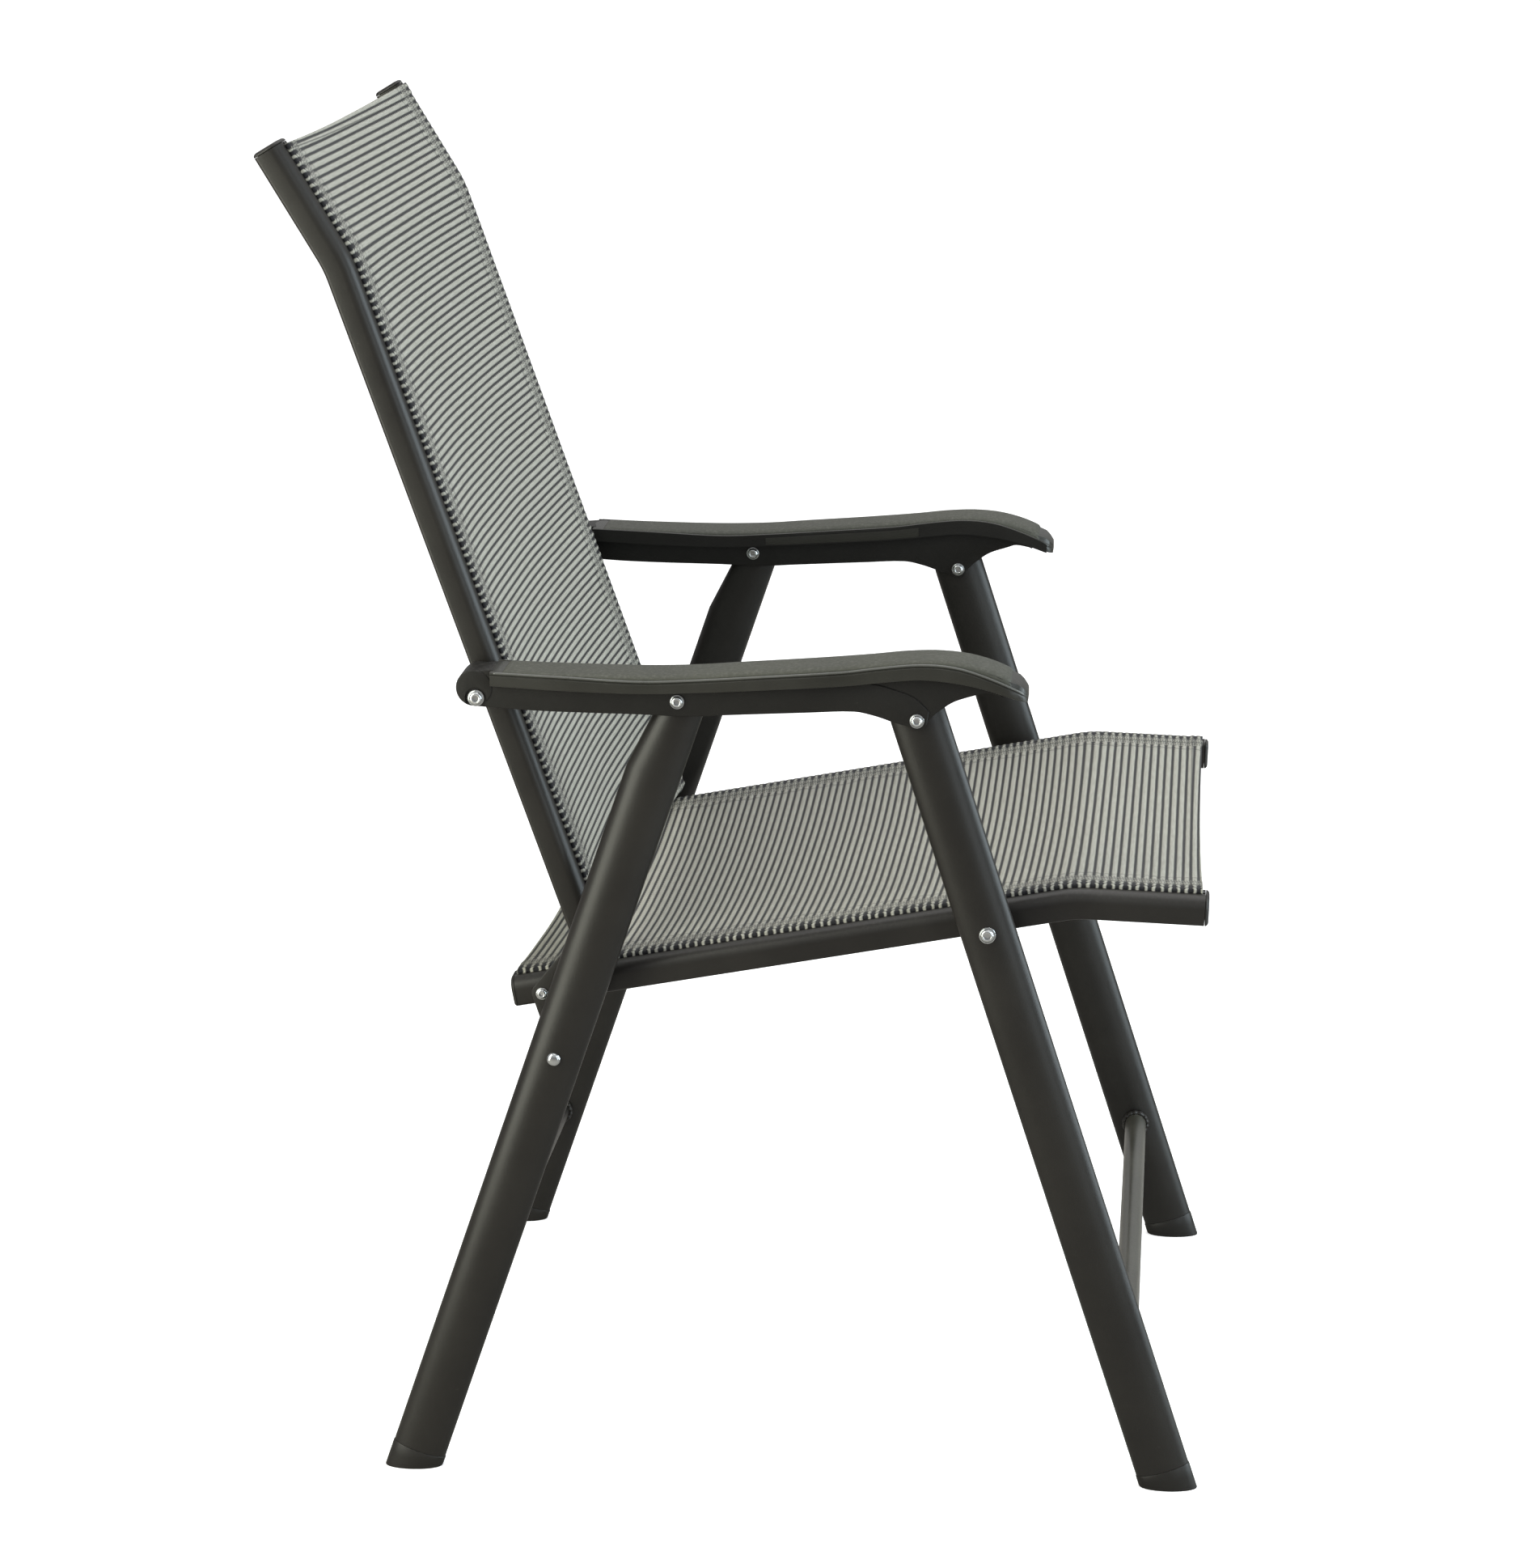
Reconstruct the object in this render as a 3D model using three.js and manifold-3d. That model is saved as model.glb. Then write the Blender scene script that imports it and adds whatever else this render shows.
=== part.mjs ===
// Sling patio chair that folds flat on a linkage with seven pivots a side.
// Lengths are in millimetres and angles in degrees. +Z is up and the chair's front is towards -Y.
import * as THREE from 'three';
import { mergeVertices } from 'three/addons/utils/BufferGeometryUtils.js';
import Module from 'manifold-3d';

const wasm = await Module();
wasm.setup();

// Clearances
const fit = 0.3;
const overrun = 3;

// Where the legs stand and how far they lean, in the side view
const frontFootAhead = 318.4;
const frontLeanAngle = 17.57;
const rearFootBehind = 228.7;
const rearLeanAngle = 19.42;

// Pivots and the links between them
const frontArmHeight = 564.7;
const frontSeatHeight = 411.4;
const rearArmHeight = 576.1;
const rearPlateHeight = 314.6;
const plateSeatLength = 41.13;
const plateSeatAngle = 36;
const plateBackLength = 46;
const plateBackAngle = 38.76;
const armTailLength = 140;
const armTailRise = 0.9;

// Legs: oval tubes, with a cap on each foot
const legCentre = 262;
const legDepth = 39;
const legWidth = 19;
const legWall = 1.5;
const rearLegTopRadius = 15.3;
const rearLegTaperLength = 57;
const footHeight = 15;
const footProud = 0.4;
const footRounding = 8;
const footPlugLength = 14;

// Stretchers between the legs, with a weld round each end
const stretcherRadius = 8.5;
const stretcherWall = 1.2;
const stretcherHeight = 100;
const weldWidth = 4;
const weldProud = 1.8;

// Rails: an extrusion with a keyhole slot for the sling in its front face
const railOuterFace = 239;
const railWidth = 24;
const railDepth = 21;
const railWall = 1.8;
const railBendRadius = 90;
const railRearRounding = 2.5;
const railOuterRounding = 9.5;
const railInnerRounding = 3;
const slotFromOuter = 11.5;
const slotLip = 1.6;
const slotOpening = 2.4;
const slotRadius = 2.2;

// Back rail, counted from its pivots
const backPlateInset = 4;
const backArmInset = 5.7;
const backBottomOverhang = 7.5;
const backLowerLength = 509;
const backUpperLength = 89.5;
const backBendAngle = 11.7;

// Seat rail, counted from its pivots
const seatInset = 2.6;
const seatRearOverhang = 19.4;
const seatBendAhead = 61.6;
const seatFrontLength = 90;
const seatBendAngle = 12.6;

// End plugs of the rails
const plugSpigotLength = 12;
const plugPlate = 1.4;
const plugDome = 2.6;

// Crossbars behind the slings, bowed away from them
const crossbarRadius = 8;
const crossbarWall = 1.2;
const crossbarBow = 12;
const crossbarUnderSling = 11.9;
const backBarFromBottom = 95;
const backBarFromBend = 40;
const seatBarFromRear = 50;
const seatBarFromBend = 20;

// Slings
const slingThickness = 1.2;
const slingBead = 1.8;
const slingEndInset = 2;
const backSlingSag = 7;
const seatSlingSag = 9;

// Hinge plates between back rail, seat rail and rear leg
const plateThickness = 2.5;
const plateGap = 0.6;
const plateLegRadius = 6.5;
const plateSeatRadius = 7.4;
const plateBackRadius = 9;

// Armrests: a moulded cover over two side walls, with a channel between the walls for the legs
const armNoseLength = 76;
const armNoseRise = 12.3;
const armHeight = 40;
const armHalfWidth = 22;
const armWall = 3.5;
const armWeb = 4;
const armLip = 3;
const armTopInset = 3;
const armPanelProud = 1;
const armLegGap = 0.5;
const armTailRadius = 12.9;
const armTailBack = 1;
const armTailUp = 7;
const armWrapRadius = 7;
const armEdgeRounding = 1.2;
const armRecessRadius = 9.1;
const armRecessDepth = 0.8;
const armFrontClear = 0.8;

// Bolts, rivets, nuts and spacers
const shankRadius = 3;
const headRadius = 5.1;
const armHeadRadius = 4.4;
const plateHeadRadius = 3.8;
const headHeight = 3.3;
const flangeProud = 0.7;
const flangeHeight = 0.8;
const socketRadius = 2.4;
const socketDepth = 1.8;
const rivetRadius = 5;
const rivetHeight = 2.8;
const nutRadius = 5.4;
const nutHeight = 3.8;
const capRadius = 4.2;
const capHeight = 3;
const spacerRadius = 6.5;
const screwReach = 8;

// Facets
const arcSteps = 3;
const bendSteps = 4;
const roundSides = 12;
const ovalSides = 16;
const railArcSteps = 5;
const hexSides = 6;
const crossbarSteps = 6;
const slingSteps = 12;

// The armrest's outlines: each entry is a place along the arm and a height. A place is 0 at the back's
// pivot, 1 at the rear leg's, 2 at the front leg's and 3 at the tip. A height is a share of armHeight.
const crownShares = [
  [-0.06, 0.38], [0, 0.51], [0.11, 0.54], [0.4, 0.53], [0.79, 0.53], [1.06, 0.58], [1.26, 0.7],
  [1.55, 0.87], [1.8, 1.03], [1.94, 1.13], [2.13, 1.14], [2.33, 1.06], [2.47, 0.97], [2.64, 0.83],
  [2.81, 0.63], [2.93, 0.44], [3, 0.2],
];
const edgeShares = [
  [0.1, 0.49], [0.42, 0.45], [0.82, 0.39], [1.69, 0.8], [1.94, 1], [2.05, 1.02], [2.24, 0.95],
  [2.42, 0.84], [2.6, 0.67], [2.78, 0.48], [2.9, 0.33], [3, 0.17],
];
const lipShares = [
  [0.08, 0.24], [0.18, 0.21], [0.42, 0.19], [0.82, 0.16], [1.69, 0.54], [1.91, 0.7], [2.05, 0.74],
  [2.17, 0.69], [2.36, 0.59], [2.54, 0.46], [2.84, 0.2], [3, -0.05],
];
const wallRearShares = [
  [0.05, -0.16], [0.24, -0.2], [0.48, -0.225], [0.81, -0.24], [1.04, -0.25], [1.21, -0.17],
  [1.55, -0.01], [1.74, 0.07], [1.83, 0.02], [1.9, -0.06],
];
const wallFrontShares = [
  [2.17, 0.07], [2.27, 0.18], [2.35, 0.24], [2.52, 0.29], [2.61, 0.31], [2.78, 0.2],
];
const wallTopShares = [2.75, 2.47, 2.13, 1.94, 1.55, 1.06, 0.6, 0.16];
const tailTopShares = [0.08, 0.03];
const ridgeShares = [
  [1.83, 0.58], [1.91, 0.51], [1.98, 0.42], [2.05, 0.27], [2.11, 0.12], [2.12, -0.3],
];
const gussetShares = [[2.9, -0.3], [2.9, 0.1], [2.54, 0.46], [2.36, 0.59], [2.05, 0.74]];
const channelTopShares = [2.2, 2, 1.8, 1.55, 1.26, 1.06, 0.79, 0.4, 0.11];
const planShares = [
  [0.08, 0.95], [0.6, 1], [2.7, 1], [2.84, 0.97], [2.92, 0.88], [2.97, 0.74], [3, 0.55],
];
const padStationShares = [
  0.08, 0.3, 0.6, 0.82, 1.06, 1.26, 1.55, 1.8, 1.94, 2.04, 2.13, 2.24, 2.33, 2.47, 2.64, 2.76,
  2.84, 2.9, 2.94, 2.98, 3,
];
const cavityStationShares = [
  0.11, 0.42, 0.82, 1.06, 1.26, 1.69, 1.94, 2.05, 2.24, 2.42, 2.6, 2.78, 2.92,
];

// The cover's section, from its lip to its crown: shares of the half width and of the height's two steps
const padSectionShares = [[0.97, 0], [1, 0.1], [1, 0.5], [0.95, 0.7], [0.82, 0.86], [0.5, 0.97]];
const cavitySectionShares = [[1, 0], [1, 0.5], [0.8, 0.85]];
const edgeShare = 0.5;

// Finishes
function finish(color, roughness, metalness) {
  return new THREE.MeshStandardMaterial({ color, roughness, metalness });
}
const paint = () => finish(0x3a3934, 0.45, 0.6);
const moulded = () => finish(0x3d3e38, 0.6, 0);
const plastic = () => finish(0x22221f, 0.7, 0);
const zinc = () => finish(0xc3c5c6, 0.3, 1);
const cloth = () => finish(0xb9b8ae, 0.9, 0);

// Places in the side view: x runs ahead, y runs up and headings turn from ahead to up
const degree = Math.PI / 180;
const quarterTurn = 90;
const halfTurn = 180;
const fullTurn = 360;
const spot = (ahead, up) => new THREE.Vector2(ahead, up);
const towards = (heading) => spot(Math.cos(heading * degree), Math.sin(heading * degree));
const stepFrom = (start, heading, distance) => start.clone().addScaledVector(towards(heading), distance);
const headingOf = (from, to) => Math.atan2(to.y - from.y, to.x - from.x) / degree;
const inSpace = (lateral, place) => new THREE.Vector3(lateral, -place.x, place.y);

// Lateral places, counted from the chair's middle
const railCentre = railOuterFace - railWidth / 2;
const railInnerFace = railOuterFace - railWidth;
const slotPlace = railOuterFace - slotFromOuter;
const keyholeDepth = railDepth / 2 - slotLip - slotRadius;
const slingLevel = railDepth / 2 + fit + slingThickness / 2;
const legInnerFace = legCentre - legWidth / 2;
const legOuterFace = legCentre + legWidth / 2;
const plateInnerFace = railOuterFace + plateGap;
const plateOuterFace = plateInnerFace + plateThickness;
const channelHalf = legWidth / 2 + armLegGap;
const armInnerFace = legCentre - channelHalf - armWall;
const armGussetFace = legCentre + channelHalf + armWall;
const armPanelFace = armGussetFace + armPanelProud;

// The seven pivots
const onLeg = (footAhead, lean, height) => spot(footAhead - height * Math.tan(lean * degree), height);
const frontArm = onLeg(frontFootAhead, frontLeanAngle, frontArmHeight);
const frontSeat = onLeg(frontFootAhead, frontLeanAngle, frontSeatHeight);
const rearArm = onLeg(-rearFootBehind, -rearLeanAngle, rearArmHeight);
const rearPlate = onLeg(-rearFootBehind, -rearLeanAngle, rearPlateHeight);
const seatPlate = stepFrom(rearPlate, quarterTurn - rearLeanAngle + plateSeatAngle, plateSeatLength);
const seatAhead = headingOf(seatPlate, frontSeat);
const backPlate = stepFrom(seatPlate, seatAhead + plateBackAngle, plateBackLength);
const backArm = spot(rearArm.x - armTailLength, rearArm.y + armTailRise);
const armTip = spot(frontArm.x + armNoseLength, frontArm.y + armNoseRise);

// A closed geometry becomes a solid that can be joined and cut, and a solid becomes a geometry
function solidOf(geometry) {
  geometry.deleteAttribute('normal');
  geometry.deleteAttribute('uv');
  const merged = mergeVertices(geometry);
  return new wasm.Manifold(new wasm.Mesh({
    numProp: 3,
    vertProperties: new Float32Array(merged.attributes.position.array),
    triVerts: new Uint32Array(merged.index.array),
  }));
}

function geometryOf(solid) {
  const { vertProperties, triVerts } = solid.getMesh();
  const geometry = new THREE.BufferGeometry();
  geometry.setAttribute('position', new THREE.BufferAttribute(vertProperties, 3));
  geometry.setIndex(new THREE.BufferAttribute(triVerts, 1));
  geometry.computeVertexNormals();
  return geometry;
}

// The same piece on the chair's other side
function mirrored(geometry) {
  const copy = geometry.clone();
  const corners = copy.attributes.position;
  for (let i = 0; i < corners.count; i += 1) {
    corners.setX(i, -corners.getX(i));
  }
  copy.setIndex(new THREE.BufferAttribute(copy.index.array.slice().reverse(), 1));
  copy.computeVertexNormals();
  return copy;
}

// A section carried through stations, with each corner placed by the piece's own rule
function formed(section, stations, place) {
  const steps = stations.length - 1;
  const geometry = new THREE.ExtrudeGeometry(section, { depth: steps, steps, bevelEnabled: false });
  const corners = geometry.attributes.position;
  for (let i = 0; i < corners.count; i += 1) {
    const station = stations[Math.round(corners.getZ(i))];
    corners.setXYZ(i, ...place(corners.getX(i), corners.getY(i), station).toArray());
  }
  return solidOf(geometry);
}

// A section swept through the side view: its x is lateral and its y points left of the heading
function swept(section, stations, lateral) {
  return formed(section, stations, (x, y, { middle, heading, scale = 1 }) => {
    const place = stepFrom(middle, heading + quarterTurn, y * scale);
    return inSpace(lateral + x * scale, place);
  });
}

// A side-view outline given a lateral thickness
function slab(points, from, to, rounding = 0) {
  const geometry = new THREE.ExtrudeGeometry(new THREE.Shape(points), {
    depth: to - from - 2 * rounding,
    bevelEnabled: rounding > 0,
    bevelThickness: rounding,
    bevelSize: rounding,
    bevelOffset: -rounding,
    bevelSegments: 1,
  });
  const corners = geometry.attributes.position;
  for (let i = 0; i < corners.count; i += 1) {
    const lateral = to - rounding - corners.getZ(i);
    corners.setXYZ(i, ...inSpace(lateral, spot(corners.getX(i), corners.getY(i))).toArray());
  }
  return solidOf(geometry);
}

// A round bar across the chair, such as a bolt's hole
function acrossBar(centre, radius, from, to) {
  const geometry = new THREE.CylinderGeometry(radius, radius, to - from, roundSides);
  geometry.rotateZ(-Math.PI / 2);
  geometry.translate(...inSpace((from + to) / 2, centre).toArray());
  return solidOf(geometry);
}

const boltHole = (centre, from, to) => acrossBar(centre, shankRadius + fit, from - overrun, to + overrun);
const withHoles = (solid, centres, from, to) => centres.reduce(
  (drilled, centre) => drilled.subtract(boltHole(centre, from, to)),
  solid,
);

// A profile of [radius, lateral place] pairs turned about the lateral axis
function turned(profile) {
  const geometry = new THREE.LatheGeometry(profile.map(([r, x]) => spot(r, x)), roundSides);
  geometry.rotateZ(-Math.PI / 2);
  return solidOf(geometry);
}

// Outlines, counter-clockwise
function arc(centre, radius, from, to, steps = arcSteps) {
  const points = [];
  for (let i = 0; i <= steps; i += 1) {
    points.push(stepFrom(centre, from + (to - from) * (i / steps), radius));
  }
  return points;
}

const oval = (width, depth) => arc(spot(0, 0), 0.5, 0, fullTurn, ovalSides)
  .slice(1)
  .map(({ x, y }) => spot(x * width, y * depth));

function hollow(outer, inner) {
  const shape = new THREE.Shape(outer);
  shape.holes.push(new THREE.Path(inner));
  return shape;
}

const disc = (radius) => arc(spot(0, 0), radius, 0, fullTurn, roundSides).slice(1);

// Tangent outline round circles of several sizes
function roundHull(circles) {
  const tangentAngle = (from, to) => {
    const tilt = Math.asin((from.radius - to.radius) / from.centre.distanceTo(to.centre)) / degree;
    return headingOf(from.centre, to.centre) - quarterTurn + tilt;
  };
  return circles.flatMap((circle, i) => {
    const arriving = tangentAngle(circles[(i + circles.length - 1) % circles.length], circle);
    const leaving = tangentAngle(circle, circles[(i + 1) % circles.length]);
    const turn = (leaving - arriving + 2 * fullTurn) % fullTurn;
    return arc(circle.centre, circle.radius, arriving, arriving + turn);
  });
}

// A rail's middle line: straight, one round bend, straight
function bentPath(start, corner, end) {
  const headIn = headingOf(start, corner);
  const turn = headingOf(corner, end) - headIn;
  const tangent = railBendRadius * Math.tan(Math.abs(turn) * degree / 2);
  const toCentre = Math.sign(turn) * quarterTurn;
  const bendStart = stepFrom(corner, headIn + halfTurn, tangent);
  const centre = stepFrom(bendStart, headIn + toCentre, railBendRadius);
  const stations = [{ middle: start, heading: headIn }];
  for (let i = 0; i <= bendSteps; i += 1) {
    const heading = headIn + turn * (i / bendSteps);
    stations.push({ middle: stepFrom(centre, heading - toCentre, railBendRadius), heading });
  }
  stations.push({ middle: end, heading: headIn + turn });
  return stations;
}

function shortened(path, inset) {
  const first = path[0];
  const last = path[path.length - 1];
  return [
    { ...first, middle: stepFrom(first.middle, first.heading, inset) },
    ...path.slice(1, -1),
    { ...last, middle: stepFrom(last.middle, last.heading, -inset) },
  ];
}

// The back rail's path runs down it, so that the section's front faces the sitter
const backUp = headingOf(
  stepFrom(backPlate, headingOf(backPlate, backArm) - quarterTurn, backPlateInset),
  stepFrom(backArm, headingOf(backPlate, backArm) - quarterTurn, backArmInset),
);
const backFoot = stepFrom(backPlate, backUp - quarterTurn, backPlateInset);
const backBottom = stepFrom(backFoot, backUp, -backBottomOverhang);
const backCorner = stepFrom(backFoot, backUp, backLowerLength);
const backTop = stepFrom(backCorner, backUp + backBendAngle, backUpperLength);
const backPath = bentPath(backTop, backCorner, backBottom);

// The seat rail's path runs ahead, so that the section's front faces up
const overSeat = (pivot) => stepFrom(pivot, seatAhead + quarterTurn, seatInset);
const seatRear = stepFrom(overSeat(seatPlate), seatAhead, -seatRearOverhang);
const seatCorner = stepFrom(overSeat(frontSeat), seatAhead, seatBendAhead);
const seatFront = stepFrom(seatCorner, seatAhead - seatBendAngle, seatFrontLength);
const seatPath = bentPath(seatRear, seatCorner, seatFront);

// Rail section: its outer outline, with the slot's keyhole left out for a plug
const outerFillet = Math.min(railOuterRounding, slotFromOuter - slotOpening);
function railOutline(keyhole) {
  const x = railWidth / 2;
  const y = railDepth / 2;
  const corner = (toX, toY, radius, from, steps) => (
    arc(spot(toX * (x - radius), toY * (y - radius)), radius, from, from + quarterTurn, steps)
  );
  return [
    ...corner(-1, -1, railRearRounding, halfTurn),
    ...corner(1, -1, railRearRounding, -quarterTurn),
    ...corner(1, 1, outerFillet, 0, railArcSteps),
    ...keyhole,
    ...corner(-1, 1, railInnerRounding, quarterTurn),
  ];
}

// The keyhole opens to the front, and the chamber goes round it
function railSection() {
  const x = railWidth / 2;
  const y = railDepth / 2;
  const mouth = slotOpening / 2;
  const middle = spot(slotPlace - railCentre, keyholeDepth);
  const lipAngle = Math.asin(mouth / slotRadius) / degree;
  const keyhole = [
    spot(middle.x + mouth, y),
    ...arc(middle, slotRadius, quarterTurn - lipAngle, lipAngle - quarterTurn - halfTurn, 2 * arcSteps),
    spot(middle.x - mouth, y),
  ];
  const wallX = x - railWall;
  const wallY = y - railWall;
  const under = keyholeDepth - slotRadius - railWall;
  const beside = slotRadius + railWall;
  const shoulderAngles = [12, 50];
  const filletCentre = spot(x - outerFillet, y - outerFillet);
  const shoulder = arc(filletCentre, outerFillet - railWall, ...shoulderAngles, arcSteps - 1);
  const chamber = [
    spot(-wallX, -wallY), spot(wallX, -wallY), ...shoulder,
    spot(middle.x + beside, shoulder[shoulder.length - 1].y), spot(middle.x + beside, under),
    spot(middle.x - beside, under), spot(middle.x - beside, wallY), spot(-wallX, wallY),
  ];
  return hollow(railOutline(keyhole), chamber);
}

// A rail with the hole of the bolt that its hinge plate turns on
function rail(path, pivot) {
  const hole = acrossBar(pivot, shankRadius + fit, railCentre, railOuterFace + overrun);
  return swept(railSection(), path, railCentre).subtract(hole);
}

// Plug: a cap on a rail's end and a spigot in its chamber
// Outwards is 1 at the path's end and -1 at its start
function plug(station, outwards, height, domed, spigotLength = plugSpigotLength) {
  const edge = domed ? height / 2 : height;
  const shoulderShare = 0.88;
  const crownShare = 0.55;
  const profile = [[fit, 1], [fit + edge, 1]];
  if (domed) {
    profile.push([fit + (edge + height) / 2, shoulderShare], [fit + height, crownShare]);
  }
  const at = ([distance, scale]) => {
    const middle = stepFrom(station.middle, station.heading, outwards * distance);
    return { ...station, middle, scale };
  };
  const ordered = (places) => (outwards < 0 ? places.map(at).reverse() : places.map(at));
  const cap = new THREE.Shape(railOutline([]));
  const x = railWidth / 2 - railWall - fit;
  const low = -railDepth / 2 + railWall + fit;
  const high = keyholeDepth - slotRadius - railWall - fit;
  const spigot = new THREE.Shape([spot(-x, low), spot(x, low), spot(x, high), spot(-x, high)]);
  const spigotEnds = ordered([[-spigotLength, 1], [fit + edge / 2, 1]]);
  return swept(cap, ordered(profile), railCentre).add(swept(spigot, spigotEnds, railCentre));
}

// Sling: a strip that sags between the rails, lies over their front faces and ends in keyhole beads
function sling(path, sag) {
  const half = slingThickness / 2;
  const neck = Math.asin(half / slingBead) / degree;
  const face = (offset) => {
    const points = [];
    for (let i = 0; i <= slingSteps; i += 1) {
      const share = 2 * i / slingSteps - 1;
      points.push(spot(railInnerFace * share, slingLevel - sag * (1 - share * share) + offset));
    }
    return points;
  };
  const fold = (side) => spot(side * (slotPlace - half), slingLevel - half);
  const bead = (side) => arc(
    spot(side * slotPlace, keyholeDepth),
    slingBead,
    quarterTurn + neck,
    quarterTurn + fullTurn - neck,
    2 * arcSteps,
  );
  const section = new THREE.Shape([
    ...face(-half), fold(1), ...bead(1), ...arc(fold(1), slingThickness, 0, quarterTurn),
    ...face(half).reverse(), ...arc(fold(-1), slingThickness, quarterTurn, halfTurn), ...bead(-1), fold(-1),
  ]);
  return swept(section, shortened(path, slingEndInset), 0);
}

// Crossbar: a tube between the rails' inner faces, bowed away from the sling
function crossbar(middle, heading) {
  const half = railInnerFace - fit;
  const stations = [];
  for (let i = 0; i <= crossbarSteps; i += 1) {
    stations.push(half * (2 * i / crossbarSteps - 1));
  }
  const tube = hollow(disc(crossbarRadius), disc(crossbarRadius - crossbarWall));
  return formed(tube, stations, (x, y, lateral) => {
    const bow = crossbarBow * (1 - (lateral / half) ** 2);
    const deep = slingLevel - crossbarUnderSling - bow + x;
    return inSpace(lateral, stepFrom(stepFrom(middle, heading + quarterTurn, deep), heading, y));
  });
}

// A place on a leg, counted down from its top pivot and towards the front
const legPlace = (top, lean, down, front) => stepFrom(stepFrom(top, lean - quarterTurn, down), lean, front);
const legLength = (top, lean) => top.y / Math.cos(lean * degree) - footHeight;

// Leg: the tube from its seam with the foot up to a rounded top, drilled at its two pivots
function leg(top, lean, topOutline, pivots) {
  const tube = hollow(
    oval(legWidth, legDepth),
    oval(legWidth - 2 * legWall, legDepth - 2 * legWall),
  );
  const stations = [-legDepth, legLength(top, lean)].map((down) => (
    { middle: legPlace(top, lean, down, 0), heading: lean - quarterTurn }
  ));
  const wide = legDepth / 2 + overrun;
  const low = legLength(top, lean) + overrun;
  const outline = [
    legPlace(top, lean, low, -wide),
    legPlace(top, lean, low, wide),
    legPlace(top, lean, overrun, wide),
    ...topOutline,
  ];
  const trimmed = swept(tube, stations, legCentre)
    .intersect(slab(outline, legInnerFace - overrun, legOuterFace + overrun));
  return withHoles(trimmed, pivots, legInnerFace, legOuterFace);
}

function frontLeg() {
  const half = legDepth / 2;
  const top = [
    ...arc(frontArm, half, frontLeanAngle, frontLeanAngle + halfTurn, 2 * arcSteps),
    legPlace(frontArm, frontLeanAngle, overrun, -half - overrun),
  ];
  return leg(frontArm, frontLeanAngle, top, [frontArm, frontSeat]);
}

// The rear leg's top is drawn in at the back, so that it lies in the armrest's channel when folded
function rearLeg() {
  const half = legDepth / 2;
  const centre = legPlace(rearArm, -rearLeanAngle, 0, half - rearLegTopRadius);
  const top = [
    ...arc(centre, rearLegTopRadius, -rearLeanAngle, halfTurn - rearLeanAngle, 2 * arcSteps),
    legPlace(rearArm, -rearLeanAngle, rearLegTaperLength, -half),
    legPlace(rearArm, -rearLeanAngle, rearLegTaperLength + overrun, -half - overrun),
  ];
  return leg(rearArm, -rearLeanAngle, top, [rearArm, rearPlate]);
}

// Foot: a cap of the leg's own section, rounded to a flat on the floor, with a plug up the tube
function foot(top, lean) {
  const heading = lean - quarterTurn;
  const half = legDepth / 2 + footProud;
  const seam = legLength(top, lean) + fit;
  const ground = top.y / Math.cos(lean * degree);
  const corner = (side) => legPlace(top, lean, ground + side * half * Math.tan(lean * degree), side * half);
  const rounded = (side) => new THREE.QuadraticBezierCurve(
    stepFrom(corner(side), heading, -footRounding),
    corner(side),
    spot(corner(side).x - side * footRounding, corner(side).y),
  ).getPoints(arcSteps);
  const outline = [
    legPlace(top, lean, seam - overrun, -half - overrun),
    legPlace(top, lean, seam, -half - overrun),
    ...rounded(-1),
    ...rounded(1).reverse(),
    legPlace(top, lean, seam, half + overrun),
    legPlace(top, lean, seam - overrun, half + overrun),
  ];
  const station = (down) => ({ middle: legPlace(top, lean, down, 0), heading });
  const body = swept(
    new THREE.Shape(oval(legWidth + 2 * footProud, 2 * half)),
    [station(seam), station(ground + half)],
    legCentre,
  );
  const inside = 2 * (legWall + fit);
  const spigot = swept(
    new THREE.Shape(oval(legWidth - inside, legDepth - inside)),
    [station(seam - footPlugLength), station(seam + overrun)],
    legCentre,
  );
  return body.intersect(slab(outline, legInnerFace - overrun, legOuterFace + overrun)).add(spigot);
}

// Stretcher: a tube between the legs' inner faces with a weld round each end
function stretcher() {
  const half = legInnerFace - fit;
  const bore = stretcherRadius - stretcherWall;
  const weld = stretcherRadius + weldProud;
  const shoulder = stretcherRadius + weldProud / 2;
  return turned([
    [bore, -half], [weld, -half], [shoulder, weldWidth / 2 - half], [stretcherRadius, weldWidth - half],
    [stretcherRadius, half - weldWidth], [shoulder, half - weldWidth / 2], [weld, half], [bore, half],
    [bore, -half],
  ]);
}

const plateCorners = [
  { centre: rearPlate, radius: plateLegRadius },
  { centre: backPlate, radius: plateBackRadius },
  { centre: seatPlate, radius: plateSeatRadius },
];
const hingePlate = () => withHoles(
  slab(roundHull(plateCorners), plateInnerFace, plateOuterFace),
  [rearPlate, backPlate, seatPlate],
  plateInnerFace,
  plateOuterFace,
);

// The armrest's own coordinates
function shareAt(table, place) {
  const next = table.findIndex(([key]) => key >= place);
  if (next <= 0) {
    return next < 0 ? table[table.length - 1][1] : table[0][1];
  }
  const [fromKey, fromShare] = table[next - 1];
  const [toKey, toShare] = table[next];
  return THREE.MathUtils.mapLinear(place, fromKey, toKey, fromShare, toShare);
}

function onArm(place, share) {
  const knots = [backArm, rearArm, frontArm, armTip];
  const span = THREE.MathUtils.clamp(Math.floor(place), 0, knots.length - 2);
  const point = knots[span].clone().lerp(knots[span + 1], place - span);
  return spot(point.x, point.y + share * armHeight);
}

function crownAt(place, inset = 0) {
  return stepFrom(onArm(place, shareAt(crownShares, place)), -quarterTurn, inset);
}
const armTail = spot(backArm.x - armTailBack, backArm.y + armTailUp);

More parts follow.
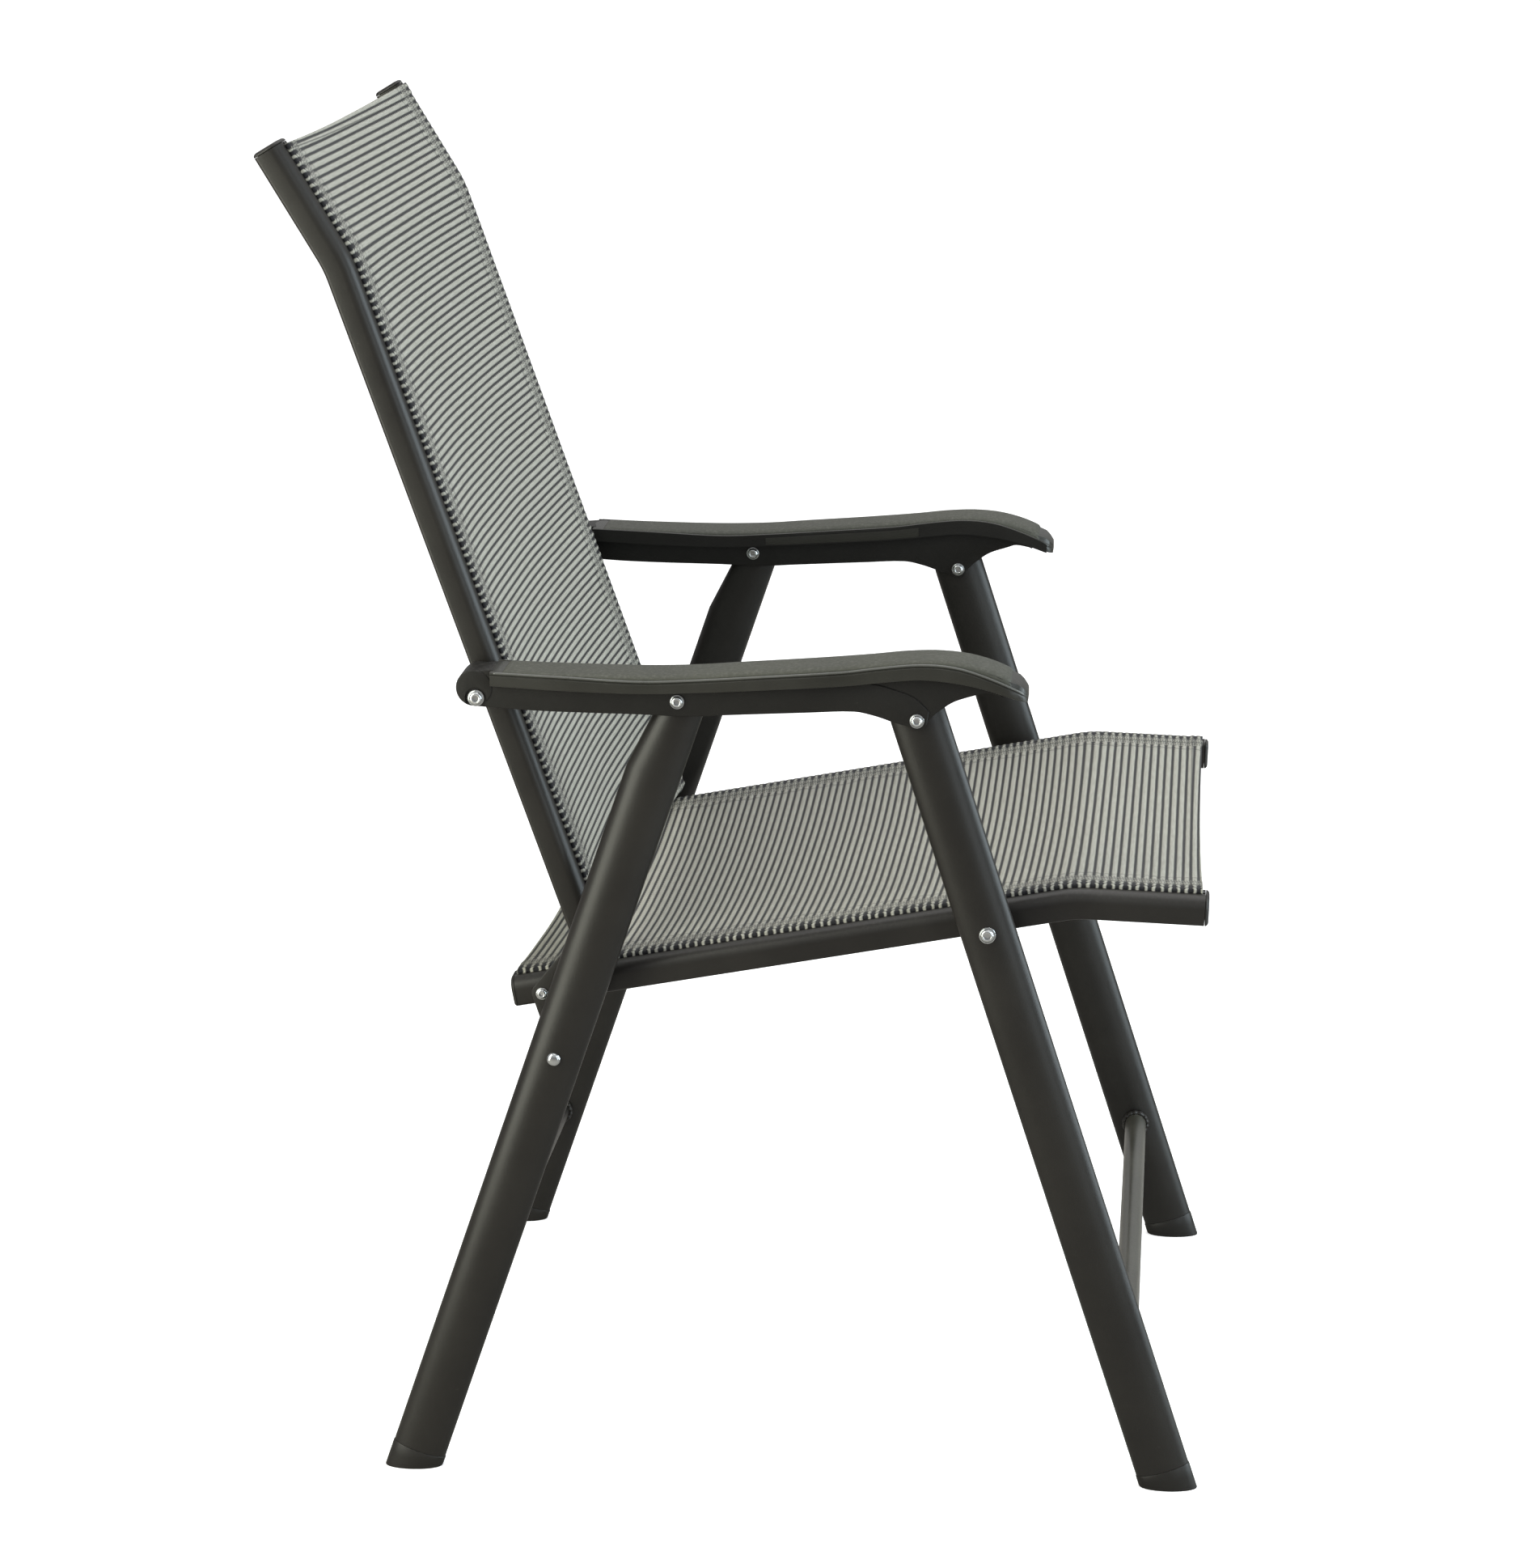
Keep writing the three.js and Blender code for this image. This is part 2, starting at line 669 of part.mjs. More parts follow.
// A lofted body under the crown: its section's height goes from bottom to edge and on to crown
function armLoft(sectionShares, stations, { lipDrop, edgeDrop, crownDrop, widthDrop }) {
  const half = sectionShares.map(([x, y]) => spot(x, y));
  const other = half.map(({ x, y }) => spot(-x, y)).reverse();
  const section = new THREE.Shape([...half, spot(0, 1), ...other]);
  return formed(section, stations, (x, y, place) => {
    const lip = onArm(place, shareAt(lipShares, place)).y - lipDrop;
    const edge = onArm(place, shareAt(edgeShares, place)).y - edgeDrop;
    const crown = crownAt(place, crownDrop).y;
    const up = y < edgeShare
      ? THREE.MathUtils.mapLinear(y, 0, edgeShare, lip, edge)
      : THREE.MathUtils.mapLinear(y, edgeShare, 1, edge, crown);
    const width = armHalfWidth * shareAt(planShares, place) - widthDrop;
    return inSpace(legCentre + x * width, spot(onArm(place, 0).x, up));
  });
}

// Side walls: one outline from the round tail, along the bottom, round the front pivot and up to the nose
function armWallOutline() {
  const wrapAngles = [220, 350];
  return [
    ...arc(armTail, armTailRadius, quarterTurn, quarterTurn + halfTurn, 3 * arcSteps),
    ...wallRearShares.map(([place, share]) => onArm(place, share)),
    ...arc(frontArm, armWrapRadius, ...wrapAngles),
    ...wallFrontShares.map(([place, share]) => onArm(place, share)),
    ...wallTopShares.map((place) => crownAt(place, armTopInset)),
    ...tailTopShares.map((place) => crownAt(place)),
  ];
}

// Channel for the legs, open below
function armChannelOutline() {
  const ahead = frontArm.x + legDepth / 2 + armFrontClear;
  const bottom = Math.min(backArm.y, rearArm.y, frontArm.y) - armHeight;
  const tailAngles = [90, 200];
  const innerRadius = armTailRadius - armWall;
  return [
    spot(armTail.x - innerRadius, bottom),
    spot(ahead, bottom),
    spot(ahead, crownAt(channelTopShares[0], armWeb).y),
    ...channelTopShares.map((place) => crownAt(place, armWeb)),
    ...arc(armTail, innerRadius, ...tailAngles),
  ];
}

function armrest() {
  const flush = { lipDrop: 0, edgeDrop: 0, crownDrop: 0, widthDrop: 0 };
  const inner = { lipDrop: overrun, edgeDrop: armLip, crownDrop: armWeb, widthDrop: armLip };
  const cover = armLoft(padSectionShares, padStationShares, flush)
    .subtract(armLoft(cavitySectionShares, cavityStationShares, inner));
  const walls = slab(armWallOutline(), armInnerFace, armPanelFace, armEdgeRounding);
  const channel = slab(armChannelOutline(), legCentre - channelHalf, legCentre + channelHalf);
  const gusset = slab([
    ...ridgeShares.map(([place, share]) => onArm(place, share)),
    ...gussetShares.map(([place, share]) => onArm(place, share)),
  ], armGussetFace, armPanelFace + armPanelProud);
  const recess = acrossBar(backArm, armRecessRadius, armPanelFace - armRecessDepth, armPanelFace + overrun);
  const shaped = cover.add(walls).subtract(channel).subtract(gusset).subtract(recess);
  return withHoles(shaped, [backArm, rearArm, frontArm], armInnerFace, armPanelFace);
}

// Fasteners are made about the lateral axis, with the seat of the head or nut at zero and +X outwards
function hexBar(radius, from, to) {
  const geometry = new THREE.CylinderGeometry(radius, radius, to - from, hexSides);
  geometry.rotateZ(-Math.PI / 2);
  geometry.translate((from + to) / 2, 0, 0);
  return solidOf(geometry);
}

function bolt(reach, radius) {
  const flange = radius + flangeProud;
  const shoulderShare = 0.9;
  const topShare = 0.62;
  return turned([
    [0, -reach], [shankRadius, -reach], [shankRadius, 0], [flange, 0], [flange, flangeHeight],
    [radius, flangeHeight], [radius * shoulderShare, headHeight * topShare], [radius * topShare, headHeight],
    [0, headHeight],
  ]).subtract(hexBar(socketRadius, headHeight - socketDepth, headHeight + overrun));
}

function rivet(reach) {
  const shoulderShare = 0.8;
  const shoulder = spot(rivetRadius * shoulderShare, rivetHeight * shoulderShare);
  return turned([
    [0, -reach], [shankRadius, -reach], [shankRadius, 0], [rivetRadius, 0], [shoulder.x, shoulder.y],
    [0, rivetHeight],
  ]);
}

function nut() {
  const bore = acrossBar(spot(0, 0), shankRadius + fit, -nutHeight - overrun, overrun);
  return hexBar(nutRadius, -nutHeight, 0).subtract(bore);
}

function capNut() {
  const shoulderShare = 0.7;
  const dome = turned([
    [0, -nutHeight - capHeight], [capRadius * shoulderShare, -nutHeight - capHeight * shoulderShare],
    [capRadius, -nutHeight], [capRadius, -nutHeight / 2], [0, -nutHeight / 2],
  ]);
  return hexBar(nutRadius, -nutHeight, 0).add(dome);
}

function spacer(length) {
  const bore = shankRadius + fit;
  return turned([[bore, -length], [spacerRadius, -length], [spacerRadius, 0], [bore, 0], [bore, -length]]);
}

// Scene: a group for each frame that moves as one
function frameGroup(name) {
  const group = new THREE.Group();
  group.name = name;
  return group;
}

function addPiece(group, name, geometry, material) {
  const mesh = new THREE.Mesh(geometry, material);
  mesh.name = name;
  group.add(mesh);
  return mesh;
}

function addPair(group, name, solid, material) {
  const geometry = geometryOf(solid);
  addPiece(group, `left_${name}`, geometry, material());
  addPiece(group, `right_${name}`, mirrored(geometry), material());
}

function addFasteners(group, name, solid, pivot, face, material) {
  const geometry = geometryOf(solid);
  for (const [side, direction] of [['left', 1], ['right', -1]]) {
    const mesh = addPiece(group, `${side}_${name}`, geometry.clone(), material());
    mesh.position.copy(inSpace(direction * face, pivot));
    mesh.rotation.z = direction > 0 ? 0 : Math.PI;
  }
}

function addStretcher(group, name, top, lean) {
  const down = (top.y - stretcherHeight) / Math.cos(lean * degree);
  const mesh = addPiece(group, name, geometryOf(stretcher()), paint());
  mesh.position.copy(inSpace(0, legPlace(top, lean, down, 0)));
}

function backFrame() {
  const group = frameGroup('back');
  addPair(group, 'back_rail', rail(backPath, backPlate), paint);
  addPair(group, 'back_top_plug', plug(backPath[0], -1, plugDome, true), plastic);
  const belowBolt = backBottomOverhang - shankRadius - 2 * fit;
  const bottomPlug = plug(backPath[backPath.length - 1], 1, plugPlate, false, belowBolt);
  addPair(group, 'back_bottom_plug', bottomPlug, plastic);
  const upperUp = backUp + backBendAngle;
  const lower = crossbar(stepFrom(backBottom, backUp, backBarFromBottom), backUp + halfTurn);
  const upper = crossbar(stepFrom(backCorner, upperUp, backBarFromBend), upperUp + halfTurn);
  addPiece(group, 'back_lower_crossbar', geometryOf(lower), paint());
  addPiece(group, 'back_upper_crossbar', geometryOf(upper), paint());
  addPiece(group, 'back_sling', geometryOf(sling(backPath, backSlingSag)), cloth());
  const reach = plateOuterFace + fit - railOuterFace + screwReach;
  addFasteners(group, 'back_plate_bolt', bolt(reach, plateHeadRadius), backPlate, plateOuterFace + fit, zinc);
  addFasteners(group, 'back_cap_nut', capNut(), backArm, railInnerFace - fit, zinc);
  return group;
}

function seatFrame() {
  const group = frameGroup('seat');
  addPair(group, 'seat_rail', rail(seatPath, seatPlate), paint);
  addPair(group, 'seat_rear_plug', plug(seatPath[0], -1, plugDome, true), plastic);
  addPair(group, 'seat_front_plug', plug(seatPath[seatPath.length - 1], 1, plugDome, true), plastic);
  const rear = crossbar(stepFrom(seatRear, seatAhead, seatBarFromRear), seatAhead);
  const front = crossbar(stepFrom(seatCorner, seatAhead, -seatBarFromBend), seatAhead);
  addPiece(group, 'seat_rear_crossbar', geometryOf(rear), paint());
  addPiece(group, 'seat_front_crossbar', geometryOf(front), paint());
  addPiece(group, 'seat_sling', geometryOf(sling(seatPath, seatSlingSag)), cloth());
  const reach = plateOuterFace + fit - railOuterFace + screwReach;
  addFasteners(group, 'seat_plate_bolt', bolt(reach, plateHeadRadius), seatPlate, plateOuterFace + fit, zinc);
  addFasteners(group, 'seat_cap_nut', capNut(), frontSeat, railInnerFace - fit, zinc);
  return group;
}

function frontFrame() {
  const group = frameGroup('front_legs');
  addPair(group, 'front_leg', frontLeg(), paint);
  addPair(group, 'front_foot', foot(frontArm, frontLeanAngle), plastic);
  addStretcher(group, 'front_stretcher', frontArm, frontLeanAngle);
  const face = legOuterFace + fit;
  const end = railOuterFace + fit;
  const inner = legInnerFace - fit;
  addFasteners(group, 'seat_leg_bolt', bolt(face - end, headRadius), frontSeat, face, zinc);
  addFasteners(group, 'seat_leg_spacer', spacer(inner - end), frontSeat, inner, plastic);
  return group;
}

function rearFrame() {
  const group = frameGroup('rear_legs');
  addPair(group, 'rear_leg', rearLeg(), paint);
  addPair(group, 'rear_foot', foot(rearArm, -rearLeanAngle), plastic);
  addStretcher(group, 'rear_stretcher', rearArm, -rearLeanAngle);
  const face = legOuterFace + fit;
  const gap = legInnerFace - plateOuterFace - 2 * fit;
  addFasteners(group, 'plate_rivet', rivet(face - plateInnerFace), rearPlate, face, zinc);
  addFasteners(group, 'plate_spacer', spacer(gap), rearPlate, legInnerFace - fit, plastic);
  return group;
}

function armFrame() {
  const group = frameGroup('arms');
  addPair(group, 'armrest', armrest(), moulded);
  const end = railOuterFace + fit;
  const recessed = armPanelFace - armRecessDepth + fit;
  const nutFace = armInnerFace - fit;
  addFasteners(group, 'back_arm_bolt', bolt(recessed - end, headRadius), backArm, recessed, zinc);
  addFasteners(group, 'back_arm_spacer', spacer(nutFace - end), backArm, nutFace, plastic);
  const face = armPanelFace + fit;
  const through = bolt(face - nutFace + nutHeight, armHeadRadius);
  for (const [name, pivot] of [['rear_arm', rearArm], ['front_arm', frontArm]]) {
    addFasteners(group, `${name}_bolt`, through, pivot, face, zinc);
    addFasteners(group, `${name}_nut`, nut(), pivot, nutFace, zinc);
  }
  return group;
}

function hingePlates() {
  const group = frameGroup('hinge_plates');
  addPair(group, 'hinge_plate', hingePlate(), paint);
  return group;
}

// The origin is on the floor, below the middle of the whole chair
const chair = frameGroup('sling_patio_chair');
chair.add(backFrame(), seatFrame(), frontFrame(), rearFrame(), armFrame(), hingePlates());
chair.updateMatrixWorld(true);
const extent = new THREE.Box3().setFromObject(chair, true);
chair.position.y = -(extent.min.y + extent.max.y) / 2;

export default chair;
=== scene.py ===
"""Looks of the folding sling patio chair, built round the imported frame.

Sizes are in millimetres and angles in degrees until place() turns them into metres in the row frame.
The side view is worked in complex numbers: the real part runs ahead and the imaginary part runs up.
"""
import cmath
import math
import bmesh
import bpy
from mathutils import Matrix, Vector


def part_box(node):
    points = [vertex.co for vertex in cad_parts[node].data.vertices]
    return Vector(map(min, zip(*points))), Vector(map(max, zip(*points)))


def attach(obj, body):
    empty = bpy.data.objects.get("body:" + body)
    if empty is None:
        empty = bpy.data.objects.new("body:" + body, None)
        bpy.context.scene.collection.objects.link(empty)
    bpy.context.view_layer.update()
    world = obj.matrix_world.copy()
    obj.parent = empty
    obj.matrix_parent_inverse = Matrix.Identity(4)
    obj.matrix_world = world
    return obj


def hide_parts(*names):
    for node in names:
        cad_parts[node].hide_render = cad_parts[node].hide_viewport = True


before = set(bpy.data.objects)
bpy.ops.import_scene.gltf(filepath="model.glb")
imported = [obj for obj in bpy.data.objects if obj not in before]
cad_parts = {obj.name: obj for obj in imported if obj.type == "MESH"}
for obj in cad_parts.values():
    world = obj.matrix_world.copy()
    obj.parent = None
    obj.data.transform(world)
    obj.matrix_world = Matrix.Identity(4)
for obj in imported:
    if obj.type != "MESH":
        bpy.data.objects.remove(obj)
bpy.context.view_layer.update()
MM = 0.001

# Camera of the photograph
CAMERA_PLACE = (-3.1558, -0.3094, 1.25414)
CAMERA_AHEAD = (0.96450, 0.09515, -0.24635)
CAMERA_UP = (0.24610, 0.01450, 0.96914)
CAMERA_LENS = 99.38

# Legs, feet and stretchers
LEG_CENTRE = 262
LEG_DEPTH = 39
LEG_WIDTH = 19
REAR_TOP_RADIUS = 15.3
REAR_TAPER_LENGTH = 57
FOOT_HEIGHT = 15
FOOT_PROUD = 0.4
FOOT_LIP = 0.25
FOOT_ROUNDING = 1.4
FOOT_INSET_SHARE = 0.6
STRETCHER_RADIUS = 8.5
STRETCHER_HEIGHT = 100
WELD_RADIUS = 2.6
WELD_POOLS = 7
WELD_SWELL = (0.82, 0.26)
WELD_SPREAD = (0.25, 0.75)

# Rails and their slots
RAIL_OUTER_FACE = 239
RAIL_WIDTH = 24
RAIL_DEPTH = 21
RAIL_BEND_RADIUS = 90
REAR_ROUNDING = 2.5
LEAST_ROUNDING = 0.4
OUTER_ROUNDING = 9.5
INNER_ROUNDING = 3
SLOT_FROM_OUTER = 11.5
SLOT_OPENING = 2.4
SLOT_DEPTH = 5
PLUG_DOME = 2.6
PLUG_PLATE = 1.4
PLUG_EDGE = 0.7
PLUG_RIM = 0.3
PLUG_SPREAD = 3.2
PLUG_SEAM = 0.2

# Back rail and seat rail, counted from their pivots
BACK_PLATE_INSET = 4
BACK_ARM_INSET = 5.7
BACK_BOTTOM_OVERHANG = 7.5
BACK_LOWER_LENGTH = 509
BACK_UPPER_LENGTH = 89.5
BACK_BEND = 11.7
SEAT_INSET = 2.6
SEAT_REAR_OVERHANG = 19.4
SEAT_BEND_AHEAD = 61.6
SEAT_FRONT_LENGTH = 90
SEAT_BEND = 12.6

# Crossbars
CROSSBAR_RADIUS = 8
CROSSBAR_BOW = 12
CROSSBAR_UNDER_SLING = 11.9
BACK_BAR_FROM_BOTTOM = 95
BACK_BAR_FROM_BEND = 40
SEAT_BAR_FROM_REAR = 50
SEAT_BAR_FROM_BEND = 20

# Slings
SLING_THICKNESS = 0.9
SLING_END_INSET = 2
BACK_SAG = 7
SEAT_SAG = 9
RIB_PITCH = 5.7
RIB_HEIGHT = 0.22
RIB_BIAS = 0.35
RIB_SAMPLES = 6
SLING_COLUMNS = 56
EDGE_CROWDING = 0.8
TUCK = 3
END_HEM = 9
END_HEM_RISE = 0.5
END_HEM_STEP = 1.6
BACK_SEAM_INSET = 9.5
BACK_SEAM_SLOPE = 0.012
SEAT_SEAM_INSET = 10
SIDE_HEM = 26
SIDE_HEM_RISE = 0.35
SIDE_HEM_STEP = 2
END_DRAW = 1.5
END_ROWS = 12
TURN_OUT = 0.35
TURN_DOWN = 0.5
TURN_LENGTH = 0.6
WEAVE_SKEW = 0.006
STITCH_ROWS = (11.0, 20.5)
STITCH_LENGTH = 3.8
STITCH_SPREAD = 1.1
STITCH_RADIUS = 0.42
STITCH_DROP = 1.1
STITCH_TAPER = 0.3
STITCH_WIDENING = 1.3
STITCH_LIFT = 0.6
ROW_DIP = 0.35
ROW_HALF_WIDTH = 2
RIPPLE = 0.35
RIPPLE_ACROSS = 31
RIPPLE_ALONG = 47
RIPPLE_SWELL = 83
RIPPLE_START = 1.3

# Weave of the slings: borders and rows are counted in from the long edges
YARN_LIGHT = (0.345, 0.34, 0.297)
YARN_SHADE = (0.275, 0.27, 0.232)
YARN_DARK = (0.021, 0.021, 0.022)
# Painted shadow: the gaps between ribs are darker where the cloth dives into the rails' slots
SLOT_SHADOW_DARK = (0.006, 0.006, 0.008)
SLUB_SCALE = (60.0, 900.0, 1.0)
YARN_PITCH = 5.6
YARN_SLANT = (0.16, 0.34)
YARN_BULGE = 0.018
RIB_HALF_SHARE = (0.292, 0.272)
RIB_SOFTNESS = 0.10
RIB_WANDER = 0.4
BORDER_FADE = (10.8, 9.6)
BORDER_NARROWING = 0.10
DOUBLED_FADE = (46, 41)
DOUBLED_RAGGED = 12
FRINGE = (13.5, 29, 1)
FRINGE_SHARE = 0.62
STRAND_WAVES = 3
STRAND_LEAN = 0.3
# Rows of painted shade where the cloth dips along the stitching, the hem and the slot: start, end and
# softness of each
EDGE_ROW = (3.6, 4.6, 0.3)
OUTER_ROW = (10.6, 13.2, 0.4)
INNER_ROW = (20.2, 22.8, 0.5)
ROW_SHADE = 0.6
SEAM_HALF_WIDTH = 0.5
SEAM_SOFTNESS = 0.2
THREAD_PITCH = 2.4
FINE_PITCH = 0.95

# Grain, scuffs and dust: scales are repeats in a metre
GRAIN_SPREAD = 5.0
CLOUD_SCALE = 14.0
SCUFFS_ALONG = (9.0, 30.0, 160.0)
SCUFFS_ACROSS = (12.0, 150.0, 26.0)
SCUFF_PATCH_SCALE = 22.0
SCUFF_ROUGHNESS = 0.2
DUST_SCALE = 420.0
DUST = (0.30, 0.29, 0.26)

# Hinge plates
PLATE_THICKNESS = 2.5
PLATE_GAP = 0.6
PLATE_EDGE = 0.5
PLATE_RADII = (6.5, 9, 7.4)

# Armrests
ARM_HALF_WIDTH = 22
ARM_WALL = 3.5
ARM_EDGE = 0.6
ARM_PANEL_EDGE = 0.7
ARM_BOSS_PROUD = 0.6
ARM_BOSS_INSET = 0.4
ARM_OVERLAP = 1
ARM_LIP = 3
ARM_TOP_INSET = 3
ARM_PANEL_PROUD = 1
ARM_LEG_GAP = 0.5
ARM_ROOF = 3.6
ARM_TAIL_RADIUS = 12.9
ARM_TAIL_PLACE = complex(-1, 7)
ARM_WRAP_RADIUS = 7
ARM_WRAP_ARC = (220, 350)
ARM_RECESS_RADIUS = 7.6
ARM_RECESS_DEPTH = 0.8
ARM_FRONT_CLEAR = 0.8
ARM_BOTTOM = 40
ARM_COARSE_STEP = 6
COVER_RUN = (11, 381)
CAVITY_RUN = (14, 374)
LIP_RUN = (13, 376)
LIP_FACE_PROUD = 0.15
LIP_FACE_DEPTH = 1.5
LIP_FACE_EDGE = 0.2
LIP_UNDER_BEAD = 0.7
LIP_OVER_FLANGE = 0.1
BEAD_RUN = (13, 379)
BEAD_RADIUS = 0.85
BEAD_END_SHARE = 0.3
PAD_REAR = 19
PAD_FRONT = 371
PAD_HEIGHT = 1.5
PAD_INSET = 1.9
PAD_END_ROUNDING = 2.5
PAD_SHOULDER_SHARE = 0.28

# Armrest outlines in the side view, ahead of and above its rear bolt
CROWN = [
    (-8, 13.5), (0, 18.6), (16, 20.1), (56, 19.1), (110, 18.3), (150, 19.1), (183, 21.4), (231, 24.7),
    (273, 28.1), (295, 30.4), (315, 31.3), (330, 30.6), (341, 29), (354, 25.6), (367, 20.4),
    (376, 14.8), (381, 9)]
BEAD = [
    (11, 19.7), (58.8, 17.6), (114.7, 15), (150, 16.3), (200, 19.5), (253.9, 23.3), (277, 26.2),
    (295.4, 28.3), (309.2, 29.1), (323, 28.6), (336.7, 26.3), (350.5, 21.9), (364.3, 16.4),
    (373.5, 11.9), (381, 6.9)]
FLANGE = [
    (11, 9.7), (58.5, 7.2), (114.6, 5.7), (160, 7.2), (205, 9.6), (253.8, 12.7), (290.8, 16.6), (309.2, 17.8),
    (332.2, 15.6), (355.1, 10.7), (381, 1.4)]
WALL_REAR = [
    (7, -6.4), (33.6, -8.2), (67.2, -9.4), (113.4, -10.3), (146.6, -11.4), (174.7, -10.1), (230.9, -7.6),
    (262.2, -6.5), (277.1, -9.6), (288.7, -13.6)]
WALL_FRONT = [(318.1, -7.4), (325.7, -1.8), (331.8, 1.6), (344.7, 5.7), (351.6, 7.6), (364.5, 5.3)]
RIDGE = [(313.6, -6.1), (309, -0.9), (301.9, 4.7), (290.3, 9.1), (277.1, 12.8), (262, 13.8)]
WALL_TOPS = [351, 340, 325, 315, 300, 280, 250, 220, 183, 150, 110, 80, 50, 22]
WALL_TAIL_TOPS = [12, 4]

# Share of the armrest's width along it
WIDTH_SHARE = [(11, 0.95), (84, 1), (358, 1), (369, 0.97), (375, 0.88), (379, 0.74), (381, 0.55)]

# Cover's section: in from its edge, and up from its flange or down from its bead
COVER_SHOULDER = 2.6
COVER_FOOT = [(0.9, 0), (0.25, 0.2), (0, 0.9)]
COVER_LIP = [(0, 3.0), (0.3, 2.6), (0.6, 2.4), (0.6, 2.1), (0.3, 1.8), (0, 1.4), (0.15, 0.85), (0.55, 0.35),
             (1.1, 0.02), (1.6, 0.1), (2.0, 0.9)]

# Bolts and rivets: profiles are (radius, height) in shares of the head's radius
BOLT_PROFILE = [
    (1.14, 0.0), (1.16, 0.03), (1.16, 0.12), (1.13, 0.17), (1.04, 0.18), (0.95, 0.13), (0.91, 0.14),
    (0.90, 0.30), (0.87, 0.43), (0.78, 0.54), (0.66, 0.60), (0.56, 0.62), (0.50, 0.59)]
RIVET_PROFILE = [
    (1.0, 0.0), (1.02, 0.04), (1.0, 0.10), (0.93, 0.26), (0.80, 0.40), (0.62, 0.50), (0.40, 0.555),
    (0.15, 0.575)]
SOCKET_RADIUS = 0.40
SOCKET_LEVELS = (0.58, 0.20)
HEAD_RADIUS = 5.1
ARM_HEAD_RADIUS = 4.4
PLATE_HEAD_RADIUS = 3.8
ARM_NUT_RADIUS = 4.4
RIVET_RADIUS = 5
SIDE_SPIN = 0.4

# Shared by all pieces
FIT = 0.3
ROUND_SIDES = 32
OVAL_SIDES = 40
QUARTER = math.pi / 2
scene = bpy.context.scene


# Side view: points are complex numbers and headings are radians
def step(start, heading, distance):
    return start + cmath.rect(distance, heading)


def heading_of(start, end):
    return cmath.phase(end - start)


def place(lateral, point):
    return Vector((lateral * MM, -point.real * MM, point.imag * MM))


def pivot(node):
    low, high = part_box(node)
    return complex(-(low.y + high.y), low.z + high.z) / 2 / MM


def arc(centre, radius, start, end, steps=8):
    return [step(centre, start + (end - start) * i / steps, radius) for i in range(steps + 1)]


def eased(value, width):
    """Rises smoothly from 0 to 1 while the value runs from 0 to the width."""
    share = min(max(value / width, 0), 1)
    return share * share * (3 - 2 * share)


def interpolated(table, key):
    """The value of a table of (key, value) pairs, eased between its entries."""
    if key <= table[0][0]:
        return table[0][1]
    for i in range(len(table) - 1):
        (k0, v0), (k1, v1) = table[i], table[i + 1]
        if key <= k1:
            before = table[max(i - 1, 0)]
            after = table[min(i + 2, len(table) - 1)]
            m0 = (v1 - before[1]) / (k1 - before[0])
            m1 = (after[1] - v0) / (after[0] - k0)
            width = k1 - k0
            t = (key - k0) / width
            return ((2 * t**3 - 3 * t**2 + 1) * v0 + (t**3 - 2 * t**2 + t) * width * m0
                    + (3 * t**2 - 2 * t**3) * v1 + (t**3 - t**2) * width * m1)
    return table[-1][1]


BACK_ARM = pivot("right_back_arm_spacer")
REAR_ARM = pivot("right_rear_arm_bolt")
FRONT_ARM = pivot("right_front_arm_bolt")
FRONT_SEAT = pivot("right_seat_leg_bolt")
SEAT_PLATE = pivot("right_seat_plate_bolt")
REAR_PLATE = pivot("right_plate_rivet")
BACK_PLATE = pivot("right_back_plate_bolt")
FRONT_DOWN = heading_of(FRONT_ARM, FRONT_SEAT)
REAR_DOWN = heading_of(REAR_ARM, REAR_PLATE)
RAIL_CENTRE = RAIL_OUTER_FACE - RAIL_WIDTH / 2
RAIL_INNER_FACE = RAIL_OUTER_FACE - RAIL_WIDTH
SLOT_PLACE = RAIL_OUTER_FACE - SLOT_FROM_OUTER
SLING_LEVEL = RAIL_DEPTH / 2 + FIT
LEG_INNER = LEG_CENTRE - LEG_WIDTH / 2
LEG_OUTER = LEG_CENTRE + LEG_WIDTH / 2
CHANNEL_HALF = LEG_WIDTH / 2 + ARM_LEG_GAP
ARM_INNER_FACE = LEG_CENTRE - CHANNEL_HALF - ARM_WALL
ARM_GUSSET_FACE = LEG_CENTRE + CHANNEL_HALF + ARM_WALL
ARM_PANEL_FACE = ARM_GUSSET_FACE + ARM_PANEL_PROUD


# Node trees
def feed(tree, node, **values):
    """Sets or links a node's inputs, named with _ for a space, or i and their number."""
    for key, value in values.items():
        numbered = key[0] == "i" and key[1:].isdigit()
        socket = node.inputs[int(key[1:]) if numbered else key.replace("_", " ")]
        if isinstance(value, bpy.types.NodeSocket):
            tree.links.new(value, socket)
        else:
            socket.default_value = value
    return node


def add_node(tree, kind, settings=None, **values):
    node = tree.nodes.new(kind)
    for key, value in (settings or {}).items():
        setattr(node, key, value)
    return feed(tree, node, **values)


def maths(operation):
    """A function that adds a Math node of one operation and gives its output."""
    def added(tree, a, b=0.0):
        return add_node(tree, "ShaderNodeMath", {"operation": operation}, i0=a, i1=b).outputs[0]

    return added


times, plus, minus, divided = maths("MULTIPLY"), maths("ADD"), maths("SUBTRACT"), maths("DIVIDE")
larger, absolute, sine = maths("MAXIMUM"), maths("ABSOLUTE"), maths("SINE")
floored, fraction = maths("FLOOR"), maths("FRACT")


def ranged(tree, value, from_min, from_max, to_min=0.0, to_max=1.0, smooth=False):
    """The value carried from one range into another and held at its ends."""
    settings = {"interpolation_type": "SMOOTHSTEP"} if smooth else {}
    node = add_node(tree, "ShaderNodeMapRange", settings,
                    i0=value, i1=from_min, i2=from_max, i3=to_min, i4=to_max)
    return node.outputs[0]


def banded(tree, value, low, high, soft):
    """One inside a band of the value and zero outside, with soft edges."""
    rising = ranged(tree, value, low - soft, low + soft)
    falling = ranged(tree, value, high + soft, high - soft)
    return times(tree, rising, falling)


